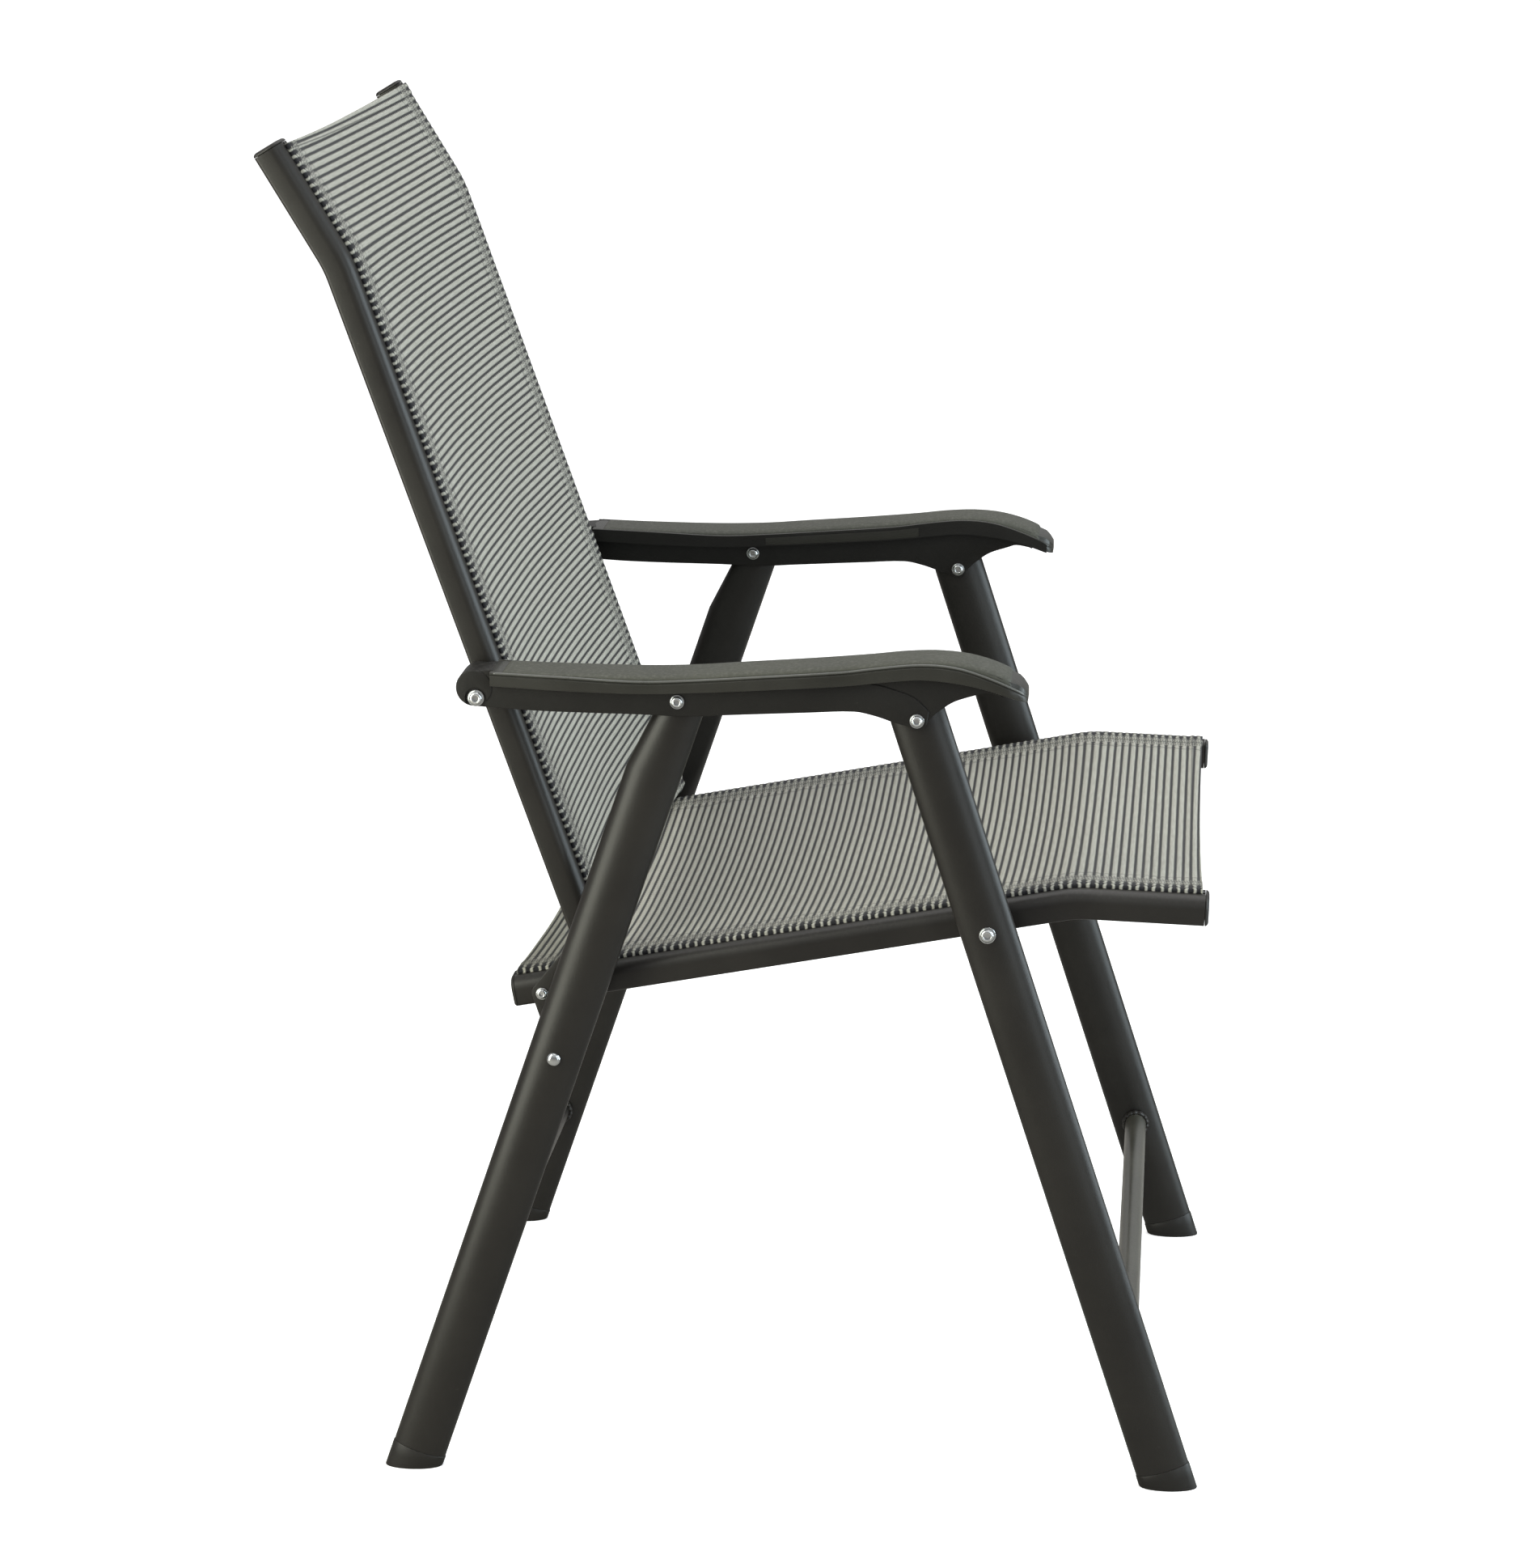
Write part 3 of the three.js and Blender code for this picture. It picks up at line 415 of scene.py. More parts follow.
def mixed(tree, factor, a, b):
    """Two colours mixed. A colour is a socket, or its red, green and blue."""
    a, b = (c if isinstance(c, bpy.types.NodeSocket) else (*c, 1) for c in (a, b))
    return add_node(tree, "ShaderNodeMix", {"data_type": "RGBA"}, i0=factor, i6=a, i7=b).outputs[2]


def object_place(tree):
    return add_node(tree, "ShaderNodeTexCoord").outputs["Object"]


def noise(tree, vector, scale, detail=2.0, roughness=0.5):
    node = add_node(tree, "ShaderNodeTexNoise",
                    Vector=vector, Scale=scale, Detail=detail, Roughness=roughness)
    return node.outputs["Fac"]


def stretched(tree, vector, scale):
    return add_node(tree, "ShaderNodeMapping", Vector=vector, Scale=scale).outputs[0]


def bumped(tree, shader, height, distance):
    bump = add_node(tree, "ShaderNodeBump", Height=height, Distance=distance, Strength=1.0)
    feed(tree, shader, Normal=bump.outputs[0])


FLOAT, VECTOR = "NodeSocketFloat", "NodeSocketVector"


def new_group(name, inputs, outputs):
    """An empty shader group with its input and output nodes. Inputs are (name, kind, default)."""
    tree = bpy.data.node_groups.new(name, "ShaderNodeTree")
    for label, kind, default in inputs:
        socket = tree.interface.new_socket(name=label, in_out="INPUT", socket_type=kind)
        if default is not None:
            socket.default_value = default
    for label in outputs:
        tree.interface.new_socket(name=label, in_out="OUTPUT", socket_type=FLOAT)
    return tree, tree.nodes.new("NodeGroupInput"), tree.nodes.new("NodeGroupOutput")


def grouped(tree, group, **values):
    return add_node(tree, "ShaderNodeGroup", {"node_tree": group}, **values)


# Effects that several materials share
def grain_group():
    """Fine orange peel or moulded grain: a height, and a mask that varies the gloss."""
    tree, given, out = new_group(
        "fine_grain", [("Vector", VECTOR, None), ("Size", FLOAT, 1.0), ("Coarse", FLOAT, 0.5)],
        ("Height", "Cloud"))
    vector = given.outputs["Vector"]
    scale = divided(tree, 1 / MM, given.outputs["Size"])
    fine = noise(tree, vector, scale, 3.0, 0.6)
    wide = noise(tree, vector, divided(tree, scale, GRAIN_SPREAD), 2.0)
    height = plus(tree, fine, times(tree, wide, given.outputs["Coarse"]))
    cloud = noise(tree, vector, CLOUD_SCALE, 4.0, 0.6)
    feed(tree, out, Height=height, Cloud=ranged(tree, cloud, 0.3, 0.7))
    return tree


def wear_group():
    """Handling marks: thin scuffs in two directions and a little dust on faces that look up."""
    tree, given, out = new_group(
        "handling_wear", [("Vector", VECTOR, None), ("Scuffs", FLOAT, 0.5), ("Dust", FLOAT, 0.3)],
        ("Scuff", "Dust"))
    vector = given.outputs["Vector"]
    lengthwise = stretched(tree, vector, SCUFFS_ALONG)
    crosswise = stretched(tree, vector, SCUFFS_ACROSS)
    first = ranged(tree, noise(tree, lengthwise, 3.0, 6.0, 0.7), 0.66, 0.72)
    second = ranged(tree, noise(tree, crosswise, 2.3, 6.0, 0.7), 0.67, 0.74)
    patches = ranged(tree, noise(tree, vector, SCUFF_PATCH_SCALE, 2.0), 0.55, 0.68)
    marks = times(tree, larger(tree, first, second), patches)
    scuff = times(tree, marks, given.outputs["Scuffs"])
    normal = add_node(tree, "ShaderNodeNewGeometry").outputs["Normal"]
    up = add_node(tree, "ShaderNodeSeparateXYZ", Vector=normal).outputs["Z"]
    specks = ranged(tree, noise(tree, vector, DUST_SCALE, 3.0), 0.45, 0.75)
    dust = times(tree, ranged(tree, up, 0.2, 1.0), specks)
    feed(tree, out, Scuff=scuff, Dust=times(tree, dust, given.outputs["Dust"]))
    return tree


def weave_group():
    """Ribbed yarn: u runs across the sling and v along it, in metres. Light ribs with dark lines between,
    with painted shadow near the slots and painted shade along the stitch rows.
    """
    tree, given, out = new_group(
        "ribbed_weave",
        [("UV", VECTOR, None), ("Pitch", FLOAT, RIB_PITCH * MM), ("Edge", FLOAT, 0.2)],
        ("Light", "Height", "Border", "Thread"))
    split = add_node(tree, "ShaderNodeSeparateXYZ", Vector=given.outputs["UV"])
    u, v, pitch = split.outputs["X"], split.outputs["Y"], given.outputs["Pitch"]
    inside = minus(tree, given.outputs["Edge"], absolute(tree, u))
    wander = noise(tree, given.outputs["UV"], 60.0, 2.0)
    wobble = times(tree, minus(tree, wander, 0.5), RIB_WANDER * MM)
    # Near the slots the light ribs narrow and the gaps darken: painted shadow where the cloth dives in
    slot_shadow = ranged(tree, inside, BORDER_FADE[0] * MM, BORDER_FADE[1] * MM)
    ragged = plus(tree, inside, times(tree, wander, DOUBLED_RAGGED * MM))
    doubled = ranged(tree, ragged, DOUBLED_FADE[0] * MM, DOUBLED_FADE[1] * MM)

    rib_number = floored(tree, divided(tree, v, pitch))
    across = times(tree, u, math.tau / (YARN_PITCH * MM))
    yarn = sine(tree, plus(tree, across, times(tree, rib_number, math.pi)))
    slant = times(tree, yarn, ranged(tree, doubled, 0.0, 1.0, YARN_SLANT[0] * MM, YARN_SLANT[1] * MM))
    along = plus(tree, plus(tree, v, wobble), slant)
    phase = fraction(tree, divided(tree, along, pitch))
    centred = absolute(tree, minus(tree, phase, 0.5))
    half = ranged(tree, doubled, 0.0, 1.0, *RIB_HALF_SHARE)
    half = minus(tree, half, times(tree, slot_shadow, BORDER_NARROWING))
    half = plus(tree, half, times(tree, yarn, YARN_BULGE))
    light = ranged(tree, minus(tree, half, centred), -RIB_SOFTNESS, RIB_SOFTNESS, smooth=True)

    def row(low, high, soft):
        return banded(tree, inside, low * MM, high * MM, soft * MM)

    fringe = row(*FRINGE)
    diagonal = plus(tree, times(tree, phase, STRAND_WAVES * math.tau), times(tree, across, STRAND_LEAN))
    strands = ranged(tree, sine(tree, diagonal), -0.7, 0.6, 0.18, 0.92)
    loose = times(tree, fringe, FRINGE_SHARE)
    light = plus(tree, times(tree, light, minus(tree, 1.0, loose)), times(tree, strands, loose))
    # Rows along both stitch lines, the doubled hem's edge and beside the slot darken the ribs: painted shade
    # of the dips there
    inner_row = times(tree, row(*INNER_ROW), 0.8)
    outer_row = row(*OUTER_ROW)
    hem_row = times(tree, banded(tree, doubled, 0.2, 0.8, 0.2), 0.6)
    edge_row = times(tree, row(*EDGE_ROW), 1.4)
    rows = larger(tree, larger(tree, inner_row, outer_row), larger(tree, hem_row, edge_row))
    light = times(tree, light, minus(tree, 1.0, times(tree, rows, ROW_SHADE)))

    thread = absolute(tree, sine(tree, times(tree, u, math.pi / (THREAD_PITCH * MM))))
    fine = absolute(tree, sine(tree, times(tree, v, math.pi / (FINE_PITCH * MM))))
    rib = times(tree, light, plus(tree, times(tree, thread, 0.55), 0.8))
    height = plus(tree, rib, times(tree, fine, 0.2))
    feed(tree, out, Light=light, Border=slot_shadow, Thread=thread, Height=height)
    return tree


GRAIN = grain_group()
WEAR = wear_group()
WEAVE = weave_group()


# Materials
def new_material(name, metallic=0.0, specular=0.5):
    material = bpy.data.materials.new(name)
    material.use_nodes = True
    tree = material.node_tree
    shader = feed(tree, tree.nodes["Principled BSDF"], Metallic=metallic, Specular_IOR_Level=specular)
    return material, tree, shader


def coated(name, dark, light, scuffed, size, depth, gloss, specular, scuffs, dust, coarse=0.5):
    """A coated or moulded surface: clouded colour, grain of one size in millimetres, scuffs and dust."""
    material, tree, shader = new_material(name, specular=specular)
    vector = object_place(tree)
    grain = grouped(tree, GRAIN, Vector=vector, Size=size, Coarse=coarse)
    wear = grouped(tree, WEAR, Vector=vector, Scuffs=scuffs, Dust=dust)
    body = mixed(tree, grain.outputs["Cloud"], dark, light)
    marked = mixed(tree, wear.outputs["Scuff"], body, scuffed)
    dusty = mixed(tree, wear.outputs["Dust"], marked, DUST)
    rough = ranged(tree, grain.outputs["Cloud"], 0.0, 1.0, *gloss)
    worn = plus(tree, rough, times(tree, wear.outputs["Scuff"], SCUFF_ROUGHNESS))
    feed(tree, shader, Base_Color=dusty, Roughness=worn)
    bumped(tree, shader, grain.outputs["Height"], depth)
    return material


def zinc_material():
    material, tree, shader = new_material("bright_zinc", metallic=1.0)
    vector = object_place(tree)
    grain = grouped(tree, GRAIN, Vector=vector, Size=0.7, Coarse=0.8)
    wear = grouped(tree, WEAR, Vector=vector, Scuffs=0.8, Dust=0.1)
    body = mixed(tree, grain.outputs["Cloud"], (0.40, 0.42, 0.43), (0.62, 0.63, 0.63))
    marked = mixed(tree, wear.outputs["Scuff"], body, (0.30, 0.31, 0.33))
    feed(tree, shader, Base_Color=marked, Roughness=ranged(tree, grain.outputs["Cloud"], 0, 1, 0.12, 0.24))
    bumped(tree, shader, grain.outputs["Height"], 0.00004)
    return material


def cloth_material(name, seam_place, seam_slope):
    """Sling cloth: beige yarn over dark yarn, with a slub in both, the sewn line of its end hem, and painted
    shadow in the gaps near the slots.
    """
    material, tree, shader = new_material(name, specular=0.2)
    coordinates = add_node(tree, "ShaderNodeUVMap", {"uv_map": "cloth"}).outputs[0]
    weave = grouped(tree, WEAVE, UV=coordinates, Pitch=RIB_PITCH * MM, Edge=(SLOT_PLACE + 1) * MM)
    slub = ranged(tree, noise(tree, stretched(tree, coordinates, SLUB_SCALE), 1.0, 3.0), 0.3, 0.7)
    yarn = mixed(tree, slub, YARN_SHADE, YARN_LIGHT)
    crossed = ranged(tree, weave.outputs["Thread"], 0.0, 0.5, 0.78, 1.0)
    lit = times(tree, weave.outputs["Light"], crossed)
    split = add_node(tree, "ShaderNodeSeparateXYZ", Vector=coordinates)
    skewed = times(tree, split.outputs["X"], WEAVE_SKEW - seam_slope)
    along = plus(tree, split.outputs["Y"], skewed)
    seam = banded(tree, along, (seam_place - SEAM_HALF_WIDTH) * MM, (seam_place + SEAM_HALF_WIDTH) * MM,
                  SEAM_SOFTNESS * MM)
    lit = times(tree, lit, minus(tree, 1.0, times(tree, seam, ROW_SHADE)))
    # Near the slots the dark yarn gives way to painted shadow
    dark_gaps = mixed(tree, weave.outputs["Border"], YARN_DARK, SLOT_SHADOW_DARK)
    body = mixed(tree, lit, dark_gaps, yarn)
    rough = ranged(tree, weave.outputs["Light"], 0, 1, 0.62, 0.78)
    feed(tree, shader, Base_Color=body, Roughness=rough, Sheen_Weight=0.05, Sheen_Roughness=0.4)
    bumped(tree, shader, weave.outputs["Height"], 0.0004)
    return material


def thread_material():
    material, tree, shader = new_material("stitch_thread", specular=0.3)
    twist = noise(tree, object_place(tree), 1800.0, 2.0)
    colour = mixed(tree, ranged(tree, twist, 0.35, 0.65), (0.008, 0.008, 0.011), (0.04, 0.04, 0.05))
    feed(tree, shader, Base_Color=colour, Roughness=0.6)
    bumped(tree, shader, twist, 0.0002)
    return material


PAINT = coated(
    "frame_powder_coat", (0.0098, 0.0088, 0.0077), (0.0145, 0.0131, 0.0112), (0.09, 0.085, 0.07),
    size=1.1, depth=0.00005, gloss=(0.34, 0.41), specular=0.31, scuffs=0.35, dust=0.03)
# Front stretcher: a copy of the frame coat painted several times lighter, a painted stand-in for the floor
# light that it catches
STRETCHER_PAINTED_LIGHT = coated(
    "stretcher_coat_painted_light", (0.035, 0.034, 0.026), (0.060, 0.058, 0.046), (0.12, 0.11, 0.09),
    size=1.1, depth=0.00005, gloss=(0.28, 0.40), specular=0.6, scuffs=0.8, dust=0.05)
MOULDED = coated(
    "armrest_plastic", (0.0056, 0.0052, 0.0044), (0.0082, 0.0076, 0.0064), (0.10, 0.10, 0.085),
    size=0.9, depth=0.00009, gloss=(0.42, 0.55), specular=0.25, scuffs=0.6, dust=0.06, coarse=0.8)
PAD = coated(
    "armrest_pad", (0.034, 0.035, 0.027), (0.048, 0.049, 0.038), (0.13, 0.13, 0.11),
    size=1.6, depth=0.00020, gloss=(0.58, 0.70), specular=0.35, scuffs=0.4, dust=0.12, coarse=0.9)
# Bead plastic several times lighter than the cover's: a painted highlight along the bead
BEAD_PAINTED_HIGHLIGHT = coated(
    "armrest_bead_painted_highlight", (0.050, 0.051, 0.046), (0.075, 0.077, 0.070), (0.16, 0.16, 0.14),
    size=0.9, depth=0.00004, gloss=(0.24, 0.34), specular=0.6, scuffs=0.6, dust=0.05, coarse=0.8)
COVER = coated(
    "armrest_edge", (0.013, 0.0128, 0.0100), (0.020, 0.0197, 0.0160), (0.12, 0.12, 0.10),
    size=0.9, depth=0.00007, gloss=(0.30, 0.40), specular=0.40, scuffs=0.6, dust=0.05, coarse=0.8)
CAPS = coated(
    "cap_plastic", (0.0085, 0.0077, 0.0067), (0.0130, 0.0118, 0.0101), (0.08, 0.075, 0.06),
    size=0.8, depth=0.00006, gloss=(0.36, 0.50), specular=0.30, scuffs=0.9, dust=0.08)
ZINC = zinc_material()
NUT_ZINC = coated(
    "nut_zinc", (0.26, 0.27, 0.27), (0.40, 0.41, 0.41), (0.50, 0.50, 0.50),
    size=0.9, depth=0.00004, gloss=(0.28, 0.40), specular=0.9, scuffs=0.4, dust=0.05)
THREAD = thread_material()


# Mesh helpers
def mesh_object(name, points, faces, material, smooth_angle=38):
    mesh = bpy.data.meshes.new(name)
    mesh.from_pydata([tuple(p) for p in points], [], faces)
    work = bmesh.new()
    work.from_mesh(mesh)
    bmesh.ops.recalc_face_normals(work, faces=work.faces)
    work.to_mesh(mesh)
    work.free()
    mesh.shade_smooth()
    mesh.set_sharp_from_angle(angle=math.radians(smooth_angle))
    mesh.materials.append(material)
    obj = bpy.data.objects.new(name, mesh)
    scene.collection.objects.link(obj)
    return obj


def loft(rings, joined=False):
    """Points and faces of closed rings in a row, with a face over each end or joined into a loop."""
    count = len(rings[0])
    faces = []
    for r in range(len(rings) if joined else len(rings) - 1):
        this, following = r * count, (r + 1) % len(rings) * count
        for i in range(count):
            j = (i + 1) % count
            faces.append((this + i, this + j, following + j, following + i))
    if not joined:
        faces.append(tuple(range(count))[::-1])
        faces.append(tuple((len(rings) - 1) * count + i for i in range(count)))
    return [p for ring in rings for p in ring], faces


def other_side(points):
    return [Vector((-p.x, p.y, p.z)) for p in points]


def settle(obj, body, slot, *nodes):
    """Hands a finished piece to its body and hides the nodes that it stands for. Its slot is not used."""
    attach(obj, body)
    if nodes:
        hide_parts(*nodes)
    return obj


def pair(name, body, slot, shape, material):
    """A left and a right piece of one shape, each in place of its node."""
    points, faces = shape
    for side, placed in (("left", points), ("right", other_side(points))):
        settle(mesh_object(f"{side}_{name}_skin", placed, faces, material), body, slot, f"{side}_{name}")


def applied(obj, modifier):
    """The object's mesh with its modifier worked in. The modifier goes."""
    graph = bpy.context.evaluated_depsgraph_get()
    mesh = bpy.data.meshes.new_from_object(obj.evaluated_get(graph), depsgraph=graph)
    obj.modifiers.remove(modifier)
    return mesh


def unit_circle():
    return [cmath.rect(1, math.tau * i / OVAL_SIDES) for i in range(OVAL_SIDES)]


# Legs
def leg_shape(top, down, extents, stops):
    """A leg's oval section carried down its line: extents gives its front and rear edge at each stop."""
    front_way = down + QUARTER
    rings = []
    for distance in stops:
        front, rear = extents(distance)
        middle = step(step(top, down, distance), front_way, (front + rear) / 2)
        depth = (front - rear) / 2
        rings.append([
            place(LEG_CENTRE + c.real * LEG_WIDTH / 2, step(middle, front_way, c.imag * depth))
            for c in unit_circle()
        ])
    return loft(rings)


def round_stops(radius):
    """Distances over a round end of that radius, closer together at its tip."""
    return [-radius * math.cos(QUARTER * i / 10) for i in range(1, 11)]


def leg_length(top, down):
    return top.imag / -math.sin(down) - FOOT_HEIGHT


def front_leg():
    half = LEG_DEPTH / 2

    def extents(distance):
        reach = half if distance >= 0 else math.sqrt(max(half**2 - distance**2, 0.01))
        return reach, -reach

    return leg_shape(FRONT_ARM, FRONT_DOWN, extents, round_stops(half) + [leg_length(FRONT_ARM, FRONT_DOWN)])


def rear_leg():
    half = LEG_DEPTH / 2
    radius = REAR_TOP_RADIUS
    middle = half - radius

    def extents(distance):
        if distance < 0:
            reach = math.sqrt(max(radius**2 - distance**2, 0.01))
            return middle + reach, middle - reach
        share = min(distance / REAR_TAPER_LENGTH, 1)
        start = middle - radius
        return half, start + (-half - start) * share

    stops = round_stops(radius) + [REAR_TAPER_LENGTH, leg_length(REAR_ARM, REAR_DOWN)]
    return leg_shape(REAR_ARM, REAR_DOWN, extents, stops)


def foot(top, down):
    """Foot cap: from its seam on the tube to a rounded flat on the floor."""
    half_width, half_depth = (LEG_WIDTH + 2 * FOOT_PROUD) / 2, (LEG_DEPTH + 2 * FOOT_PROUD) / 2
    front_way = down + QUARTER
    seam = leg_length(top, down) + FIT
    ground = top.imag / -math.sin(down)
    slope = math.cos(down) / math.sin(down)

    def ring(share, inset, rise):
        points = []
        for c in unit_circle():
            y = c.imag * (half_depth - inset)
            reach = ground - y * slope - rise
            distance = seam + (reach - seam) * share
            lateral = LEG_CENTRE + c.real * (half_width - inset)
            points.append(place(lateral, step(step(top, down, distance), front_way, y)))
        return points

    rings = [ring(0, FOOT_LIP, 0), ring(0.03, 0, 0), ring(0.5, 0, FOOT_ROUNDING)]
    for i in range(9):
        turn = QUARTER * i / 8
        inset = FOOT_ROUNDING * FOOT_INSET_SHARE * (1 - math.cos(turn))
        rings.append(ring(1, inset, FOOT_ROUNDING * (1 - math.sin(turn))))
    return loft(rings)


# Rails
def rail_outline(keyhole, inset=0.0):
    x = RAIL_WIDTH / 2 - inset
    y = RAIL_DEPTH / 2 - inset

    def corner(to_x, to_y, radius, start, steps):
        radius = max(radius - inset, LEAST_ROUNDING)
        return arc(complex(to_x * (x - radius), to_y * (y - radius)), radius, start, start + QUARTER, steps)

    return (corner(-1, -1, REAR_ROUNDING, math.pi, 5) + corner(1, -1, REAR_ROUNDING, -QUARTER, 5)
            + corner(1, 1, OUTER_ROUNDING, 0, 14) + keyhole + corner(-1, 1, INNER_ROUNDING, QUARTER, 5))


def rail_section():
    middle = SLOT_PLACE - RAIL_CENTRE
    mouth = SLOT_OPENING / 2
    y = RAIL_DEPTH / 2
    return rail_outline([
        complex(middle + mouth, y), complex(middle + mouth, y - SLOT_DEPTH),
        complex(middle - mouth, y - SLOT_DEPTH), complex(middle - mouth, y),
    ])


class BentPath:
    """A rail's middle line: straight, one round bend, straight. Places are counted along it."""

    def __init__(self, start, corner, end):
        self.start = start
        self.heading = heading_of(start, corner)
        self.turn = heading_of(corner, end) - self.heading
        tangent = RAIL_BEND_RADIUS * math.tan(abs(self.turn) / 2)
        self.before = abs(corner - start) - tangent
        self.bend = RAIL_BEND_RADIUS * abs(self.turn)
        self.length = self.before + self.bend + abs(end - corner) - tangent

    def at(self, distance):
        """Middle and heading at a distance from the start."""
        if distance <= self.before:
            return step(self.start, self.heading, distance), self.heading
        bend_start = step(self.start, self.heading, self.before)
        side = math.copysign(QUARTER, self.turn)
        centre = step(bend_start, self.heading + side, RAIL_BEND_RADIUS)
        into = min(distance - self.before, self.bend)
        heading = self.heading + self.turn * into / self.bend
        middle = step(centre, heading - side, RAIL_BEND_RADIUS)
        return step(middle, heading, distance - self.before - into), heading

    def over(self, distance, level):
        middle, heading = self.at(distance)
        return step(middle, heading + QUARTER, level)

    def stops(self):
        bend = [self.before + self.bend * i / 20 for i in range(21)]
        return [0] + bend + [self.length]


def beside(point, along, amount):
    """A place to the left of a point, seen along a heading."""
    return step(point, along + QUARTER, amount)


link = heading_of(BACK_PLATE, BACK_ARM)
BACK_UP = heading_of(beside(BACK_PLATE, link, -BACK_PLATE_INSET), beside(BACK_ARM, link, -BACK_ARM_INSET))
back_foot = beside(BACK_PLATE, BACK_UP, -BACK_PLATE_INSET)
BACK_BOTTOM = step(back_foot, BACK_UP, -BACK_BOTTOM_OVERHANG)
BACK_CORNER = step(back_foot, BACK_UP, BACK_LOWER_LENGTH)
BACK_TOP = step(BACK_CORNER, BACK_UP + math.radians(BACK_BEND), BACK_UPPER_LENGTH)
BACK_PATH = BentPath(BACK_TOP, BACK_CORNER, BACK_BOTTOM)
SEAT_AHEAD = heading_of(SEAT_PLATE, FRONT_SEAT)
SEAT_REAR = step(beside(SEAT_PLATE, SEAT_AHEAD, SEAT_INSET), SEAT_AHEAD, -SEAT_REAR_OVERHANG)
SEAT_CORNER = step(beside(FRONT_SEAT, SEAT_AHEAD, SEAT_INSET), SEAT_AHEAD, SEAT_BEND_AHEAD)
SEAT_FRONT = step(SEAT_CORNER, SEAT_AHEAD - math.radians(SEAT_BEND), SEAT_FRONT_LENGTH)
SEAT_PATH = BentPath(SEAT_REAR, SEAT_CORNER, SEAT_FRONT)


def swept(section, path):
    rings = []
    for distance in path.stops():
        rings.append([place(RAIL_CENTRE + c.real, path.over(distance, c.imag)) for c in section])
    return loft(rings)


def plug(path, at_end, height, domed):
    """End plug: a cap of the rail's own outline with a rounded edge, arched where it is domed."""
    outward = 1 if at_end else -1
    end, heading = path.at(path.length if at_end else 0)
    rise, spread = (height - PLUG_RIM, PLUG_SPREAD) if domed else (PLUG_EDGE, PLUG_EDGE)
    start = FIT + height - rise
    profile = [(PLUG_SEAM, FIT), (0, FIT + PLUG_SEAM), (0, start)]
    for i in range(1, 13):
        turn = QUARTER * i / 12
        profile.append((spread * (1 - math.cos(turn)), start + rise * math.sin(turn)))
    rings = []
    for inset, out in profile:
        middle = step(end, heading, outward * out)
        outline = rail_outline([], inset)
        rings.append([place(RAIL_CENTRE + c.real, step(middle, heading + QUARTER, c.imag)) for c in outline])
    return loft(rings)


# Geometry Nodes trees
def new_tree(name, *inputs):
    """An empty Geometry Nodes tree with a Material input and the others that are named."""
    tree = bpy.data.node_groups.new(name, "GeometryNodeTree")
    labels = [("Geometry", "NodeSocketGeometry"), *inputs, ("Material", "NodeSocketMaterial")]
    for label, kind in labels:
        tree.interface.new_socket(name=label, in_out="INPUT", socket_type=kind)
    tree.interface.new_socket(name="Geometry", in_out="OUTPUT", socket_type="NodeSocketGeometry")
    return tree, tree.nodes.new("NodeGroupInput"), tree.nodes.new("NodeGroupOutput")


def finish_tree(tree, given, out, geometry):
    real = add_node(tree, "GeometryNodeRealizeInstances", Geometry=geometry)
    painted = add_node(tree, "GeometryNodeSetMaterial", Geometry=real.outputs[0],
                       Material=given.outputs["Material"])
    feed(tree, out, Geometry=painted.outputs[0])
    return tree


def tube_tree():
    """A round tube along a line, with its radius."""
    tree, given, out = new_tree("tube_on_line", ("Radius", FLOAT), ("Sides", "NodeSocketInt"))
    line = add_node(tree, "GeometryNodeMeshToCurve", Mesh=given.outputs["Geometry"])
    ring = add_node(tree, "GeometryNodeCurvePrimitiveCircle",
                    Resolution=given.outputs["Sides"], Radius=given.outputs["Radius"])
    tube = add_node(tree, "GeometryNodeCurveToMesh",
                    Curve=line.outputs[0], Profile_Curve=ring.outputs[0], Fill_Caps=True)
    return finish_tree(tree, given, out, tube.outputs[0])


def carried(tree, name, kind="FLOAT"):
    """A number or a vector that the points carry."""
    return add_node(tree, "GeometryNodeInputNamedAttribute", {"data_type": kind}, Name=name).outputs[0]


def copies(tree, given, template, **values):
    """The template's shape on each point."""
    return add_node(tree, "GeometryNodeInstanceOnPoints", Points=given.outputs["Geometry"],
                    Instance=template.outputs["Geometry"], **values).outputs[0]


def fastener_tree():
    """A template on each point, turned to its side of the chair and sized by the point."""
    tree, given, out = new_tree("fasteners_on_points", ("Template", "NodeSocketObject"))
    template = add_node(tree, "GeometryNodeObjectInfo", Object=given.outputs["Template"])
    turn, size, spin = carried(tree, "turn"), carried(tree, "size"), carried(tree, "spin")
    angles = add_node(tree, "ShaderNodeCombineXYZ", X=spin, Z=turn)
    rotation = add_node(tree, "FunctionNodeEulerToRotation", Euler=angles.outputs[0])
    placed = copies(tree, given, template, Rotation=rotation.outputs[0], Scale=size)
    return finish_tree(tree, given, out, placed)


def stitch_tree():
    """A stitch on each point, lying on the cloth whose normal and heading the point carries."""
    tree, given, out = new_tree("stitches_on_points", ("Template", "NodeSocketObject"))
    template = add_node(tree, "GeometryNodeObjectInfo", Object=given.outputs["Template"])
    up, along = carried(tree, "up", "FLOAT_VECTOR"), carried(tree, "along", "FLOAT_VECTOR")
    settings = {"primary_axis": "Z", "secondary_axis": "X"}
    axes = add_node(tree, "FunctionNodeAxesToRotation", settings, i0=up, i1=along)
    return finish_tree(tree, given, out, copies(tree, given, template, Rotation=axes.outputs[0]))


